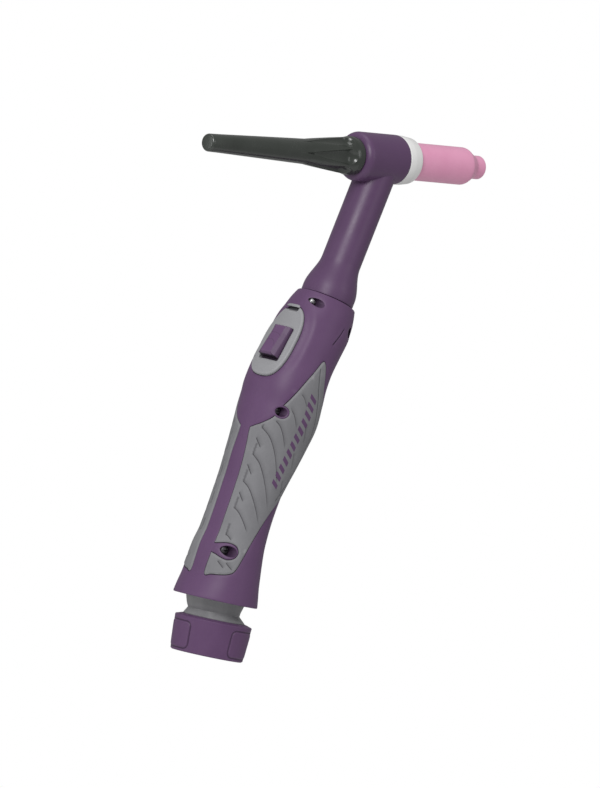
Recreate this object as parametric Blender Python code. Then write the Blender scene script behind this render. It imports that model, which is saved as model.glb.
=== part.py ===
"""Air-cooled TIG welding torch with an ergonomic swivel handle, built as separate pieces.

Lengths are written in millimetres and converted to metres when a mesh is made.
Frame: +Z runs up the rear axis of the handle, +X towards the ceramic cup, and the
parting plane of the two handle halves is y = 0. "Height" below means millimetres above
the rear face of the sheath collar; the frame's origin is GRIP_HEIGHT above that face,
at the centre of the hand grip.
"""

import math

import bmesh
import bpy
from mathutils import Matrix, Vector

# ---------------------------------------------------------------- driving dimensions
MM = 0.001
GRIP_HEIGHT = 85.0            # origin above the collar's rear face

RIM_HEIGHT = 27.3             # lower end of the handle shells
BEND_HEIGHT = 100.0           # the spine is straight above this height
SEAM_HEIGHT = 179.5           # upper end of the handle shells
SLOPE_LOW = 0.0157            # spine slope dx/dz at the rim
SLOPE_TOP = 0.268             # spine slope above the bend
WALL = 2.4                    # handle shell wall
HALF_GAP = 0.65               # degrees between each shell edge and the parting plane

# station: (height, forward shift, half depth, half width, roundness exponent)
HANDLE_STATIONS = (
    (27.3, 2.0, 20.9, 20.9, 2.00),
    (32.0, 1.8, 19.5, 20.4, 2.05),
    (38.0, 1.6, 17.7, 19.7, 2.10),
    (45.0, 1.7, 16.8, 18.8, 2.15),
    (52.0, 1.8, 16.0, 18.0, 2.15),
    (60.0, 1.35, 14.95, 17.0, 2.15),
    (72.0, 1.3, 14.6, 16.6, 2.15),
    (84.0, 1.3, 15.0, 16.5, 2.15),
    (100.0, 1.3, 17.2, 17.3, 2.15),
    (110.0, 1.5, 18.7, 18.1, 2.15),
    (120.0, 1.95, 19.6, 19.3, 2.15),
    (130.0, 3.6, 19.2, 19.9, 2.20),
    (140.0, 4.6, 17.7, 19.5, 2.25),
    (148.0, 4.1, 17.0, 19.2, 2.20),
    (156.0, 3.1, 17.0, 18.9, 2.20),
    (164.0, 1.9, 17.2, 18.3, 2.20),
    (170.0, 1.2, 16.8, 17.3, 2.15),
    (175.0, 0.9, 16.0, 16.4, 2.05),
    (179.8, 0.4, 14.8, 14.8, 2.00),
)

# soft grip pad outline on the right half: (height, angle from the front ridge)
PAD_OUTLINE = (
    (38.6, 15.5), (50.0, 16.8), (64.0, 17.2), (80.0, 17.4), (94.0, 15.6), (106.4, 10.6),
    (108.3, 14.0), (111.2, 27.0), (115.6, 40.0), (121.5, 47.5), (127.5, 57.5), (134.1, 67.0),
    (142.0, 77.5), (148.7, 84.0), (149.1, 88.5), (146.9, 95.0), (141.0, 105.5), (132.0, 119.5),
    (121.0, 129.0), (108.0, 133.0), (96.0, 131.0), (85.0, 121.0), (74.0, 99.0), (62.0, 82.5),
    (50.0, 70.0), (42.6, 61.0), (40.4, 52.0), (39.4, 40.0), (38.8, 27.0),
)
PAD_POCKET = 1.3              # pocket depth in the shell
PAD_PROUD = 0.55              # pad surface above the shell
MM_PER_DEGREE = 0.33          # flat layout scale of the angle

BEZEL_CENTRE = 151.0          # height of the switch bezel's centre
BEZEL_HALF_LENGTH = 18.6
BEZEL_HALF_ANGLE = 33.0

BUTTON_FACE = (-0.04, 0.0, 156.16)  # middle of the button's face
BUTTON_TILT = 23.8                 # degrees the face leans from the vertical
BUTTON_LENGTH = 17.6
BUTTON_WIDTH = 11.6
BUTTON_TRAVEL = 1.6

BALL_RADIUS = 15.0
BALL_CENTRE = (-1.8, 0.0, 29.0)
SHANK_RADIUS = 14.2
CABLE_BORE = 8.5
COLLAR_HEIGHT = 18.3
PANEL_ANGLE = 43.2            # direction of the first finger panel, from +X towards +Y

NECK_BASE = (31.0, 0.0, 179.8)
NECK_LEAN = math.atan(0.2466)
NECK_RADIUS = 9.8
SLEEVE_RADIUS = 13.3

HEAD_HEIGHT = 248.89          # head axis height at x = 0
HEAD_RISE = math.atan(0.0744)
HEAD_RADIUS = 12.2
HEAD_BACK = 28.4              # distances along the head axis from x = 0
HEAD_FRONT = 57.4
GASKET_FRONT = 67.4
CUP_END = 117.9
CAP_TIP = -74.0
ELECTRODE_RADIUS = 1.2
ELECTRODE_START = -63.0
ELECTRODE_END = 112.0

# case screws, driven along +Y from the right side: (name, x, height, head radius)
SCREWS = (
    ("case_screw_top", 16.1, 178.0, 1.7),
    ("case_screw_front", 0.9, 123.0, 2.3),
    ("case_screw_lower", -12.4, 52.0, 2.3),
    ("case_screw_back", 37.2, 166.7, 2.3),
    ("case_screw_belly", 24.2, 117.8, 2.3),
)
HEAD_SUNK = 2.5               # screw heads sit this far below the surface

for old in list(bpy.data.objects):
    bpy.data.objects.remove(old, do_unlink=True)


# ---------------------------------------------------------------- helpers
def material(name, colour, roughness, metallic=0.0):
    found = bpy.data.materials.get(name)
    if found:
        return found
    made = bpy.data.materials.new(name)
    made.use_nodes = True
    shader = made.node_tree.nodes["Principled BSDF"]
    shader.inputs["Base Color"].default_value = (*colour, 1.0)
    shader.inputs["Roughness"].default_value = roughness
    shader.inputs["Metallic"].default_value = metallic
    made.diffuse_color = (*colour, 1.0)
    return made


PURPLE = material("purple_nylon", (0.115, 0.066, 0.128), 0.42)
COVER = material("purple_silicone", (0.100, 0.060, 0.112), 0.38)
BUTTON = material("button_purple", (0.18, 0.11, 0.20), 0.45)
GREY = material("grey_soft_grip", (0.22, 0.22, 0.235), 0.60)
BEZEL = material("bezel_grey", (0.26, 0.25, 0.28), 0.50)
KNUCKLE = material("knuckle_grey", (0.10, 0.095, 0.105), 0.45)
BLACK = material("black_phenolic", (0.062, 0.068, 0.062), 0.35)
CERAMIC = material("pink_ceramic", (0.81, 0.35, 0.53), 0.35)
PTFE = material("white_ptfe", (0.80, 0.80, 0.78), 0.40)
BRASS = material("brass", (0.72, 0.53, 0.25), 0.30, 1.0)
COPPER = material("copper", (0.72, 0.35, 0.22), 0.30, 1.0)
STEEL = material("steel", (0.60, 0.60, 0.60), 0.30, 1.0)
TUNGSTEN = material("tungsten", (0.45, 0.45, 0.46), 0.35, 1.0)
RUBBER = material("black_rubber", (0.03, 0.03, 0.03), 0.60)
SWITCH = material("switch_black", (0.04, 0.04, 0.045), 0.45)


def to_metres(point):
    return Vector((point[0] * MM, point[1] * MM, (point[2] - GRIP_HEIGHT) * MM))


def object_from(name, verts, faces, mat, smooth=35.0):
    """A closed mesh object from millimetre points, faces turned outward."""
    mesh = bpy.data.meshes.new(name)
    bm = bmesh.new()
    made = [bm.verts.new(to_metres(v)) for v in verts]
    for face in faces:
        bm.faces.new([made[i] for i in face])
    outward(bm)
    bm.to_mesh(mesh)
    bm.free()
    return finish_object(name, mesh, mat, smooth)


def finish_object(name, mesh, mat, smooth=35.0):
    mesh.name = name
    obj = bpy.data.objects.new(name, mesh)
    bpy.context.scene.collection.objects.link(obj)
    mesh.materials.clear()
    mesh.materials.append(mat)
    mesh.shade_smooth()
    mesh.set_sharp_from_angle(angle=math.radians(smooth))
    return obj


def frame_on(origin, along, up=(0.0, 1.0, 0.0)):
    """Matrix (millimetres) whose third column runs along `along`."""
    w = Vector(along).normalized()
    u = Vector(up).cross(w).normalized()
    v = w.cross(u)
    m = Matrix((u, v, w)).transposed().to_4x4()
    m.translation = Vector(origin)
    return m


UPRIGHT = Matrix.Identity(4)
HEAD_DIR = Vector((math.cos(HEAD_RISE), 0.0, math.sin(HEAD_RISE)))
HEAD = frame_on((0.0, 0.0, HEAD_HEIGHT), HEAD_DIR)
NECK_DIR = Vector((math.sin(NECK_LEAN), 0.0, math.cos(NECK_LEAN)))
NECK = frame_on(NECK_BASE, NECK_DIR)
BUTTON_OUT = Vector((-math.cos(math.radians(BUTTON_TILT)), 0.0, math.sin(math.radians(BUTTON_TILT))))
PAD_FRAME = frame_on(BUTTON_FACE, BUTTON_OUT)      # u runs down/up the face, v across, w outward


def turned(name, profile, segments, frame, mat, shift=None, radius_at=None, phase=0.0):
    """A turned solid. `profile` is a list of (radius, distance along the axis); a closed
    loop when no point is on the axis, a solid when its first and last points are."""
    verts, rings = [], []
    for r, h in profile:
        if r < 1e-6:
            rings.append([len(verts)])
            verts.append((0.0, 0.0, h))
        else:
            ring = []
            for k in range(segments):
                a = 2 * math.pi * k / segments + phase
                rr = radius_at(r, h, a) if radius_at else r
                dx = shift(h) if shift else 0.0
                ring.append(len(verts))
                verts.append((rr * math.cos(a) + dx, rr * math.sin(a), h))
            rings.append(ring)
    faces = []
    pairs = list(zip(rings, rings[1:]))
    if len(rings[0]) > 1 and len(rings[-1]) > 1:
        pairs.append((rings[-1], rings[0]))
    for a, b in pairs:
        for k in range(segments):
            n = (k + 1) % segments
            if len(a) == 1 and len(b) == 1:
                break
            if len(a) == 1:
                faces.append((a[0], b[k], b[n]))
            elif len(b) == 1:
                faces.append((a[k], b[0], a[n]))
            else:
                faces.append((a[k], b[k], b[n], a[n]))
    points = [frame @ Vector(v) for v in verts]
    return object_from(name, points, faces, mat)


def arc(cx, cy, radius, start, end, steps):
    """Points of a circular arc in (radius, height) space, angles in degrees."""
    out = []
    for k in range(steps + 1):
        a = math.radians(start + (end - start) * k / steps)
        out.append((cx + radius * math.cos(a), cy + radius * math.sin(a)))
    return out


def box_between(name, low, high, frame, mat):
    verts = [frame @ Vector((x, y, z)) for x in (low[0], high[0]) for y in (low[1], high[1]) for z in (low[2], high[2])]
    faces = [(0, 1, 3, 2), (4, 6, 7, 5), (0, 4, 5, 1), (2, 3, 7, 6), (0, 2, 6, 4), (1, 5, 7, 3)]
    return object_from(name, verts, faces, mat)


def prism(name, outline, low, high, frame, mat):
    """A straight prism of a closed outline of (u, v) points."""
    n = len(outline)
    verts = [frame @ Vector((u, v, low)) for u, v in outline] + [frame @ Vector((u, v, high)) for u, v in outline]
    faces = [tuple(range(n)), tuple(range(2 * n - 1, n - 1, -1))]
    faces += [(k, (k + 1) % n, n + (k + 1) % n, n + k) for k in range(n)]
    return object_from(name, verts, faces, mat)


def combine(obj, other, operation):
    """Applies an exact Boolean and removes the other object."""
    mod = obj.modifiers.new("cut", "BOOLEAN")
    mod.operation = operation
    mod.solver = "EXACT"
    mod.object = other
    graph = bpy.context.evaluated_depsgraph_get()
    mesh = bpy.data.meshes.new_from_object(obj.evaluated_get(graph))
    obj.modifiers.clear()
    obj.data = mesh
    bpy.data.objects.remove(other, do_unlink=True)
    return obj


def tidy(obj, mat, smooth=35.0):
    """One material, merged slivers, smooth shading."""
    bm = bmesh.new()
    bm.from_mesh(obj.data)
    bmesh.ops.remove_doubles(bm, verts=bm.verts, dist=0.000001)
    bmesh.ops.triangulate(bm, faces=[f for f in bm.faces if len(f.verts) > 4])
    outward(bm)
    bm.to_mesh(obj.data)
    bm.free()
    obj.data.name = obj.name
    obj.data.materials.clear()
    obj.data.materials.append(mat)
    for p in obj.data.polygons:
        p.material_index = 0
    obj.data.shade_smooth()
    obj.data.set_sharp_from_angle(angle=math.radians(smooth))
    return obj


# ---------------------------------------------------------------- handle surface
def spine_slope(z):
    t = min(max(z - RIM_HEIGHT, 0.0), BEND_HEIGHT - RIM_HEIGHT)
    return SLOPE_LOW + (SLOPE_TOP - SLOPE_LOW) * t / (BEND_HEIGHT - RIM_HEIGHT)


def spine_x(z):
    t = min(max(z - RIM_HEIGHT, 0.0), BEND_HEIGHT - RIM_HEIGHT)
    x = SLOPE_LOW * t + (SLOPE_TOP - SLOPE_LOW) * t * t / (2 * (BEND_HEIGHT - RIM_HEIGHT))
    if z > BEND_HEIGHT:
        x += SLOPE_TOP * (z - BEND_HEIGHT)
    if z < RIM_HEIGHT:
        x = SLOPE_LOW * (z - RIM_HEIGHT)
    return x


def smooth_table(x, xs, ys):
    """Monotone cubic interpolation of a design table."""
    if x <= xs[0]:
        return ys[0]
    if x >= xs[-1]:
        return ys[-1]
    i = 0
    while x > xs[i + 1]:
        i += 1

    def tangent(k):
        if k == 0:
            return (ys[1] - ys[0]) / (xs[1] - xs[0])
        if k == len(xs) - 1:
            return (ys[-1] - ys[-2]) / (xs[-1] - xs[-2])
        a = (ys[k] - ys[k - 1]) / (xs[k] - xs[k - 1])
        b = (ys[k + 1] - ys[k]) / (xs[k + 1] - xs[k])
        return 0.0 if a * b <= 0 else 2 * a * b / (a + b)

    h = xs[i + 1] - xs[i]
    t = (x - xs[i]) / h
    return ((2 * t ** 3 - 3 * t * t + 1) * ys[i] + (t ** 3 - 2 * t * t + t) * h * tangent(i)
            + (3 * t * t - 2 * t ** 3) * ys[i + 1] + (t ** 3 - t * t) * h * tangent(i + 1))


COLUMNS = list(zip(*HANDLE_STATIONS))


def handle_point(s, degrees, w=0.0):
    """Point on the handle: station height, angle from the front ridge (positive to the
    right side, -Y) and offset outward from the surface."""
    shift, depth, width, p = (smooth_table(s, COLUMNS[0], COLUMNS[k]) for k in (1, 2, 3, 4))
    lean = math.atan(spine_slope(s))
    c, n = math.cos(math.radians(degrees)), math.sin(math.radians(degrees))
    r = (abs(c / depth) ** p + abs(n / width) ** p) ** (-1 / p)
    gx = math.copysign(abs(c / depth) ** (p - 1) / depth, c)
    gy = math.copysign(abs(n / width) ** (p - 1) / width, n)
    g = math.hypot(gx, gy)
    a = shift + r * c + w * gx / g
    b = r * n + w * gy / g
    return (spine_x(s) - a * math.cos(lean), -b, s + a * math.sin(lean))


def wall_depth(x, z):
    """How far the outer surface lies from the parting plane at (x, height)."""
    s, a = z, 60.0
    best = None
    for i in range(77):
        for j in range(60):
            p = handle_point(27.3 + 2.0 * i, 1.5 + 3.0 * j)
            d = (p[0] - x) ** 2 + (p[2] - z) ** 2
            if best is None or d < best[0]:
                best = (d, 27.3 + 2.0 * i, 1.5 + 3.0 * j)
    _, s, a = best
    for _ in range(12):
        p, q, r = handle_point(s, a), handle_point(s + 0.05, a), handle_point(s, a + 0.05)
        j11, j12, j21, j22 = (q[0] - p[0]) / 0.05, (r[0] - p[0]) / 0.05, (q[2] - p[2]) / 0.05, (r[2] - p[2]) / 0.05
        det = j11 * j22 - j12 * j21
        if abs(det) < 1e-9:
            break
        ex, ez = x - p[0], z - p[2]
        s += max(-2.0, min(2.0, (ex * j22 - ez * j12) / det))
        a += max(-3.0, min(3.0, (ez * j11 - ex * j21) / det))
    return abs(handle_point(s, a)[1])


def flat_slab(s_low, s_high, v_low, v_high, w_low, w_high, rows, columns, name="slab"):
    """A subdivided slab in the handle's flat layout (station, angle x MM_PER_DEGREE, offset)."""
    verts, faces = [], []

    def vertex_grid(w):
        base = len(verts)
        for i in range(rows + 1):
            for j in range(columns + 1):
                verts.append((s_low + (s_high - s_low) * i / rows, v_low + (v_high - v_low) * j / columns, w))
        return base

    a, b = vertex_grid(w_low), vertex_grid(w_high)
    at = lambda base, i, j: base + i * (columns + 1) + j
    for i in range(rows):
        for j in range(columns):
            faces.append((at(a, i, j), at(a, i + 1, j), at(a, i + 1, j + 1), at(a, i, j + 1)))
            faces.append((at(b, i, j), at(b, i, j + 1), at(b, i + 1, j + 1), at(b, i + 1, j)))
    for i in range(rows):
        faces.append((at(a, i, 0), at(b, i, 0), at(b, i + 1, 0), at(a, i + 1, 0)))
        faces.append((at(a, i, columns), at(a, i + 1, columns), at(b, i + 1, columns), at(b, i, columns)))
    for j in range(columns):
        faces.append((at(a, 0, j), at(a, 0, j + 1), at(b, 0, j + 1), at(b, 0, j)))
        faces.append((at(a, rows, j), at(b, rows, j), at(b, rows, j + 1), at(a, rows, j + 1)))
    return object_from(name, verts, faces, PURPLE)


PAD_GRID = (37.0, 151.0, 12.0 * MM_PER_DEGREE, 136.0 * MM_PER_DEGREE, 11, 6)
BEZEL_GRID = (131.0, 171.0, -40.0 * MM_PER_DEGREE, 40.0 * MM_PER_DEGREE, 5, 6)


def gridded_prism(name, outline, low, high, grid):
    """A prism in the flat layout whose two caps carry a grid, so that it bends well.
    A pocket and the piece that sits in it share one grid."""
    s_low, s_high, v_low, v_high, rows, columns = grid
    slab = flat_slab(s_low, s_high, v_low, v_high, low, high, rows, columns, name)
    return combine(slab, prism("outline", outline, low - 3.0, high + 3.0, UPRIGHT, PURPLE), "INTERSECT")


def outward(bm):
    """Turns all faces of one closed body outward."""
    bmesh.ops.recalc_face_normals(bm, faces=bm.faces)
    if bm.calc_volume(signed=True) < 0:
        bmesh.ops.reverse_faces(bm, faces=bm.faces)


def wrap(obj, mirrored=False):
    """Bends a flat-layout solid onto the handle surface."""
    bm = bmesh.new()
    bm.from_mesh(obj.data)
    bmesh.ops.remove_doubles(bm, verts=bm.verts, dist=0.00002)
    bmesh.ops.dissolve_degenerate(bm, edges=bm.edges, dist=0.00001)
    bmesh.ops.triangulate(bm, faces=bm.faces)
    for v in bm.verts:
        s, flat, w = v.co.x / MM, v.co.y / MM, v.co.z / MM + GRIP_HEIGHT
        x, y, z = handle_point(s, flat / MM_PER_DEGREE, w)
        v.co = to_metres((x, -y if mirrored else y, z))
    outward(bm)
    bm.to_mesh(obj.data)
    bm.free()
    return obj


def grow(outline, amount):
    """Moves a closed outline outward by `amount` along its averaged edge normals."""
    n = len(outline)
    area = sum(outline[k][0] * outline[(k + 1) % n][1] - outline[(k + 1) % n][0] * outline[k][1] for k in range(n))
    sign = 1.0 if area > 0 else -1.0
    out = []
    for k in range(n):
        a, b, c = Vector(outline[k - 1]), Vector(outline[k]), Vector(outline[(k + 1) % n])
        d = (b - a).normalized() + (c - b).normalized()
        d = d.normalized() if d.length > 1e-6 else (c - b).normalized()
        out.append((b.x + sign * d.y * amount, b.y - sign * d.x * amount))
    return out


pad_flat = [(s, a * MM_PER_DEGREE) for s, a in PAD_OUTLINE]
bezel_flat = []
for k in range(28):
    t = 2 * math.pi * k / 28
    c, s = math.cos(t), math.sin(t)
    square = 0.86 if c > 0 else 0.78          # squarer at the lower end
    bezel_flat.append((BEZEL_CENTRE + BEZEL_HALF_LENGTH * math.copysign(abs(c) ** square, c),
                       BEZEL_HALF_ANGLE * MM_PER_DEGREE * math.copysign(abs(s) ** square, s)))


def handle_core(offset):
    """The closed volume inside the handle surface moved by `offset`."""
    rows, around = 12, 22
    verts, faces = [], []
    for i in range(rows + 1):
        s = RIM_HEIGHT + (SEAM_HEIGHT - RIM_HEIGHT) * i / rows
        verts += [handle_point(s, 360.0 * k / around + 3.0, offset) for k in range(around)]
    for i in range(rows):
        for k in range(around):
            n = (k + 1) % around
            faces.append((i * around + k, i * around + n, (i + 1) * around + n, (i + 1) * around + k))
    faces.append(tuple(range(around)))
    faces.append(tuple(range(rows * around + around - 1, rows * around - 1, -1)))
    return object_from("core", verts, faces, PURPLE)


SCREW_SEATS = [(label, x, z, wall_depth(x, z), head) for label, x, z, head in SCREWS]


def half_shell(name, mirrored):
    slab = flat_slab(RIM_HEIGHT, SEAM_HEIGHT, HALF_GAP * MM_PER_DEGREE, (180 - HALF_GAP) * MM_PER_DEGREE,
                     -WALL, 0.0, 18, 10, name)
    combine(slab, gridded_prism("pocket", grow(pad_flat, 0.35), -PAD_POCKET, 1.0, PAD_GRID), "DIFFERENCE")
    combine(slab, gridded_prism("seat", grow(bezel_flat, 0.35), -1.6, 1.0, BEZEL_GRID), "DIFFERENCE")
    wrap(slab, mirrored)
    combine(slab, box_between("mouth", (-11.0, -7.6, -20.0), (11.0, 7.6, 6.0), PAD_FRAME, PURPLE), "DIFFERENCE")
    side = 1.0 if mirrored else -1.0
    for label, x, z, depth, head in SCREW_SEATS:
        if label == "case_screw_top":
            continue
        column = frame_on((x, 0.0, z), (0.0, side, 0.0), (0.0, 0.0, 1.0))
        reach = depth + 4.0
        boss = turned("boss", [(0.0, 0.25), (3.6, 0.25), (3.6, reach), (0.0, reach)], 12, column, PURPLE, phase=0.05)
        combine(boss, handle_core(-WALL + 0.75), "INTERSECT")
        combine(slab, boss, "UNION")
    for label, x, z, depth, head in SCREW_SEATS:
        column = frame_on((x, 0.0, z), (0.0, side, 0.0), (0.0, 0.0, 1.0))
        if mirrored:
            if label != "case_screw_top":
                combine(slab, turned("hole", [(0.0, -1.0), (1.5, -1.0), (1.5, 6.6), (0.0, 6.6)], 8, column, PURPLE, phase=0.2), "DIFFERENCE")
            continue
        deep = depth - HEAD_SUNK - 2.1
        hole = turned("hole", [(0.0, -1.0), (1.6, -1.0), (1.6, deep), (head + 0.35, deep), (head + 0.35, 40.0), (0.0, 40.0)],
                      12, column, PURPLE, phase=0.21)
        combine(slab, hole, "DIFFERENCE")
    return tidy(slab, PURPLE, 40.0)


def grip_pad(name, mirrored):
    slab = gridded_prism(name, pad_flat, -PAD_POCKET + 0.42, PAD_PROUD, PAD_GRID)
    wrap(slab, mirrored)
    if not mirrored:
        for label, x, z, depth, head in SCREW_SEATS[1:3]:
            column = frame_on((x, 0.0, z), (0.0, -1.0, 0.0), (0.0, 0.0, 1.0))
            hole = turned("hole", [(0.0, 4.0), (head + 1.3, 4.0), (head + 1.3, 40.0), (0.0, 40.0)], 18, column, GREY)
            combine(slab, hole, "DIFFERENCE")
    return tidy(slab, GREY, 40.0)


handle_shell_right = half_shell("handle_shell_right", False)
handle_shell_left = half_shell("handle_shell_left", True)
grip_pad_right = grip_pad("grip_pad_right", False)
grip_pad_left = grip_pad("grip_pad_left", True)

# ---------------------------------------------------------------- trigger switch
bezel = gridded_prism("switch_bezel", bezel_flat, -1.2, 0.7, BEZEL_GRID)
wrap(bezel)
combine(bezel, box_between("window", (-9.15, -6.2, -20.0), (9.15, 6.2, 6.0), PAD_FRAME, BEZEL), "DIFFERENCE")
tidy(bezel, BEZEL, 40.0)

# button: chamfered cap with a retaining flange behind the window
half_l, half_w = BUTTON_LENGTH / 2, BUTTON_WIDTH / 2


def rect(half_u, half_v, w):
    return [(-half_u, -half_v, w), (half_u, -half_v, w), (half_u, half_v, w), (-half_u, half_v, w)]


levels = [rect(half_l, half_w, -9.6), rect(half_l, half_w, -2.0), rect(half_l - 0.6, half_w - 1.7, -0.3), rect(half_l - 1.3, half_w - 2.3, 0.0)]
verts = [PAD_FRAME @ Vector(p) for level in levels for p in level]
faces = [(0, 1, 2, 3), (12, 15, 14, 13)]
for k in range(3):
    for j in range(4):
        a, b = 4 * k + j, 4 * k + (j + 1) % 4
        faces.append((a, b, b + 4, a + 4))
button = object_from("trigger_button", verts, faces, BUTTON)
# hollow underside that clears the return spring
well = turned("well", [(0.0, -12.0), (4.6, -12.0), (4.6, -2.2), (0.0, -2.2)], 20, PAD_FRAME, BUTTON)
combine(button, well, "DIFFERENCE")
tidy(button, BUTTON, 30.0)

# switch body behind the button, with its plunger
switch_top, switch_bottom = -12.6, -17.4
switch = box_between("switch_body", (-8.0, -6.6, switch_bottom), (8.0, 6.6, switch_top), PAD_FRAME, SWITCH)
combine(switch, turned("guide", [(0.0, -15.2), (1.7, -15.2), (1.7, -10.0), (0.0, -10.0)], 12, PAD_FRAME, SWITCH), "DIFFERENCE")
tidy(switch, SWITCH, 30.0)
turned("switch_plunger", [(0.0, -12.3), (1.3, -12.3), (1.3, -2.5), (0.0, -2.5)], 12, PAD_FRAME, SWITCH)


def spring(name, coil, wire, low, high, turns, mat, around=12, sides=6):
    """A compression spring: a swept ring along a helix with closed ends."""
    verts, faces = [], []
    steps = int(turns * around)
    for k in range(steps + 1):
        t = k / steps
        a = 2 * math.pi * turns * t
        centre = Vector((coil * math.cos(a), coil * math.sin(a), low + wire + (high - low - 2 * wire) * t))
        radial = Vector((math.cos(a), math.sin(a), 0.0))
        for j in range(sides):
            b = 2 * math.pi * j / sides
            verts.append(PAD_FRAME @ (centre + radial * wire * math.cos(b) + Vector((0, 0, 1)) * wire * math.sin(b)))
    for k in range(steps):
        for j in range(sides):
            n = (j + 1) % sides
            faces.append((k * sides + j, k * sides + n, (k + 1) * sides + n, (k + 1) * sides + j))
    faces.append(tuple(range(sides)))
    faces.append(tuple(range(steps * sides + sides - 1, steps * sides - 1, -1)))
    return object_from(name, verts, faces, mat)


spring("button_spring", 3.2, 0.35, -12.25, -2.55, 4.0, STEEL, 10, 5)

# ---------------------------------------------------------------- swivel and collar
bx, _, bz = BALL_CENTRE
BALL = Matrix.Translation(Vector(BALL_CENTRE))


def neck_shift(z):
    """The knuckle's axis moves from the collar's axis to the ball's centre."""
    t = min(max((z - 17.2) / 7.0, 0.0), 1.0)
    return bx * t * t * (3 - 2 * t)


waist = 12.75
foot_angle = -math.degrees(math.acos(waist / BALL_RADIUS))
top_angle = 47.0
knuckle = [(CABLE_BORE, 6.0), (SHANK_RADIUS - 0.6, 6.0), (SHANK_RADIUS, 6.6), (SHANK_RADIUS, 15.6), (14.9, 15.7), (14.9, 17.7), (15.1, 18.5), (14.2, 19.5)]
knuckle += [(r, z) for r, z in arc(0.0, bz, BALL_RADIUS, foot_angle, top_angle, 6)]
knuckle += [(CABLE_BORE, bz + BALL_RADIUS * math.sin(math.radians(top_angle)))]
knuckle += [(CABLE_BORE, z) for z in (24.0, 20.6, 17.3, 14.0)]
turned("swivel_knuckle", knuckle, 22, UPRIGHT, KNUCKLE, shift=neck_shift)

slip = arc(0.0, 0.0, 15.3, -4.0, 12.0, 3) + arc(0.0, 0.0, 16.8, 10.5, -3.0, 3)
turned("swivel_slip_ring", slip, 28, BALL, PTFE)

turned("sheath_clamp_ring", [(10.5, 3.3), (14.1, 3.3), (14.1, 5.7), (11.2, 5.7), (10.5, 5.0)], 28, UPRIGHT, KNUCKLE)

collar = [(10.6, 0.0), (17.2, 0.0), (17.8, 0.5), (19.0, 17.0), (18.7, 17.3), (15.6, 18.3), (15.3, 18.0),
          (15.3, 15.3), (14.55, 14.9), (14.55, 3.0), (10.6, 3.0)]
collar_obj = turned("rear_collar", collar, 28, UPRIGHT, PURPLE)
# raised finger panels: rounded outlines cut out of a slightly wider band
for k in range(3):
    a = math.radians(PANEL_ANGLE + 120.0 * k)
    band = turned("panel", [(17.0, 1.6), (18.33, 1.6), (19.18, 14.9), (18.0, 14.9)], 56, UPRIGHT, PURPLE, phase=0.03)
    out = Vector((math.cos(a), math.sin(a), 0.0))
    outline = []
    for cx, cy, start in ((5.9, 4.1, 0), (-5.9, 4.1, 90), (-5.9, -4.1, 180), (5.9, -4.1, 270)):
        for j in range(3):
            t = math.radians(start + 8 + 37 * j)
            outline.append((cx + 2.3 * math.cos(t), cy + 2.3 * math.sin(t)))
    cutter = prism("outline", outline, -6.0, 6.0, frame_on((18.0 * out.x, 18.0 * out.y, 8.2), out, (0.0, 0.0, 1.0)), PURPLE)
    combine(collar_obj, combine(band, cutter, "INTERSECT"), "UNION")
tidy(collar_obj, PURPLE, 40.0)

# ---------------------------------------------------------------- neck and head
neck_cover = [(0.0, -7.0), (9.2, -7.0), (9.2, 0.5), (SLEEVE_RADIUS, 0.5), (13.2, 5.0), (12.95, 7.5), (12.4, 9.8),
              (11.5, 12.2), (10.6, 14.6), (10.0, 17.2), (NECK_RADIUS, 20.0), (NECK_RADIUS, 71.0), (0.0, 71.0)]
cover = turned("torch_body_cover", neck_cover, 28, NECK, COVER)
back = [(HEAD_RADIUS - 3.6 + 3.6 * math.cos(math.radians(a)), HEAD_BACK + 3.6 - 3.6 * math.sin(math.radians(a))) for a in (90, 67, 45, 22, 0)]
head_outer = turned("head", [(0.0, HEAD_BACK)] + back + [(HEAD_RADIUS, HEAD_FRONT - 0.5), (HEAD_RADIUS - 0.5, HEAD_FRONT), (0.0, HEAD_FRONT)], 28, HEAD, COVER)
combine(cover, head_outer, "UNION")
combine(cover, turned("bore", [(0.0, 20.0), (8.3, 20.0), (8.3, 62.0), (0.0, 62.0)], 28, HEAD, COVER), "DIFFERENCE")
combine(cover, turned("duct", [(0.0, -20.0), (5.1, -20.0), (5.1, 68.0), (0.0, 68.0)], 20, NECK, COVER), "DIFFERENCE")
tidy(cover, COVER, 35.0)

turned("head_core", [(5.2, 30.6), (8.0, 30.6), (8.0, 56.8), (5.2, 56.8)], 28, HEAD, BRASS)
turned("neck_tube", [(3.0, -30.0), (4.7, -30.0), (4.7, 63.8), (3.0, 63.8)], 20, NECK, COPPER)
turned("neck_clamp_ring", [(9.45, -6.4), (11.4, -6.4), (11.4, -3.4), (9.45, -3.4)], 24, NECK, BRASS)
turned("power_cable_fitting", [(3.0, -46.0), (6.6, -46.0), (6.6, -37.0), (5.4, -36.4), (5.4, -30.4), (3.0, -30.4)], 6, NECK, BRASS)

# ---------------------------------------------------------------- head pieces
def scoop(r, h, a):
    """Six ball-nosed flutes that open out towards the cap's flange."""
    if h > 25.2 or h < -6.0 or r < 4.0:
        return r
    along = (h + 6.0) / 31.2
    wave = 0.5 + 0.5 * math.cos(6 * a)
    depth = 2.3 * math.sin(math.pi * min(1.0, along * 0.62)) if along < 0.9 else 2.15 * max(0.0, (1 - along) / 0.1)
    return r - depth * (1 - wave) ** 1.3 * 0.9


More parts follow.
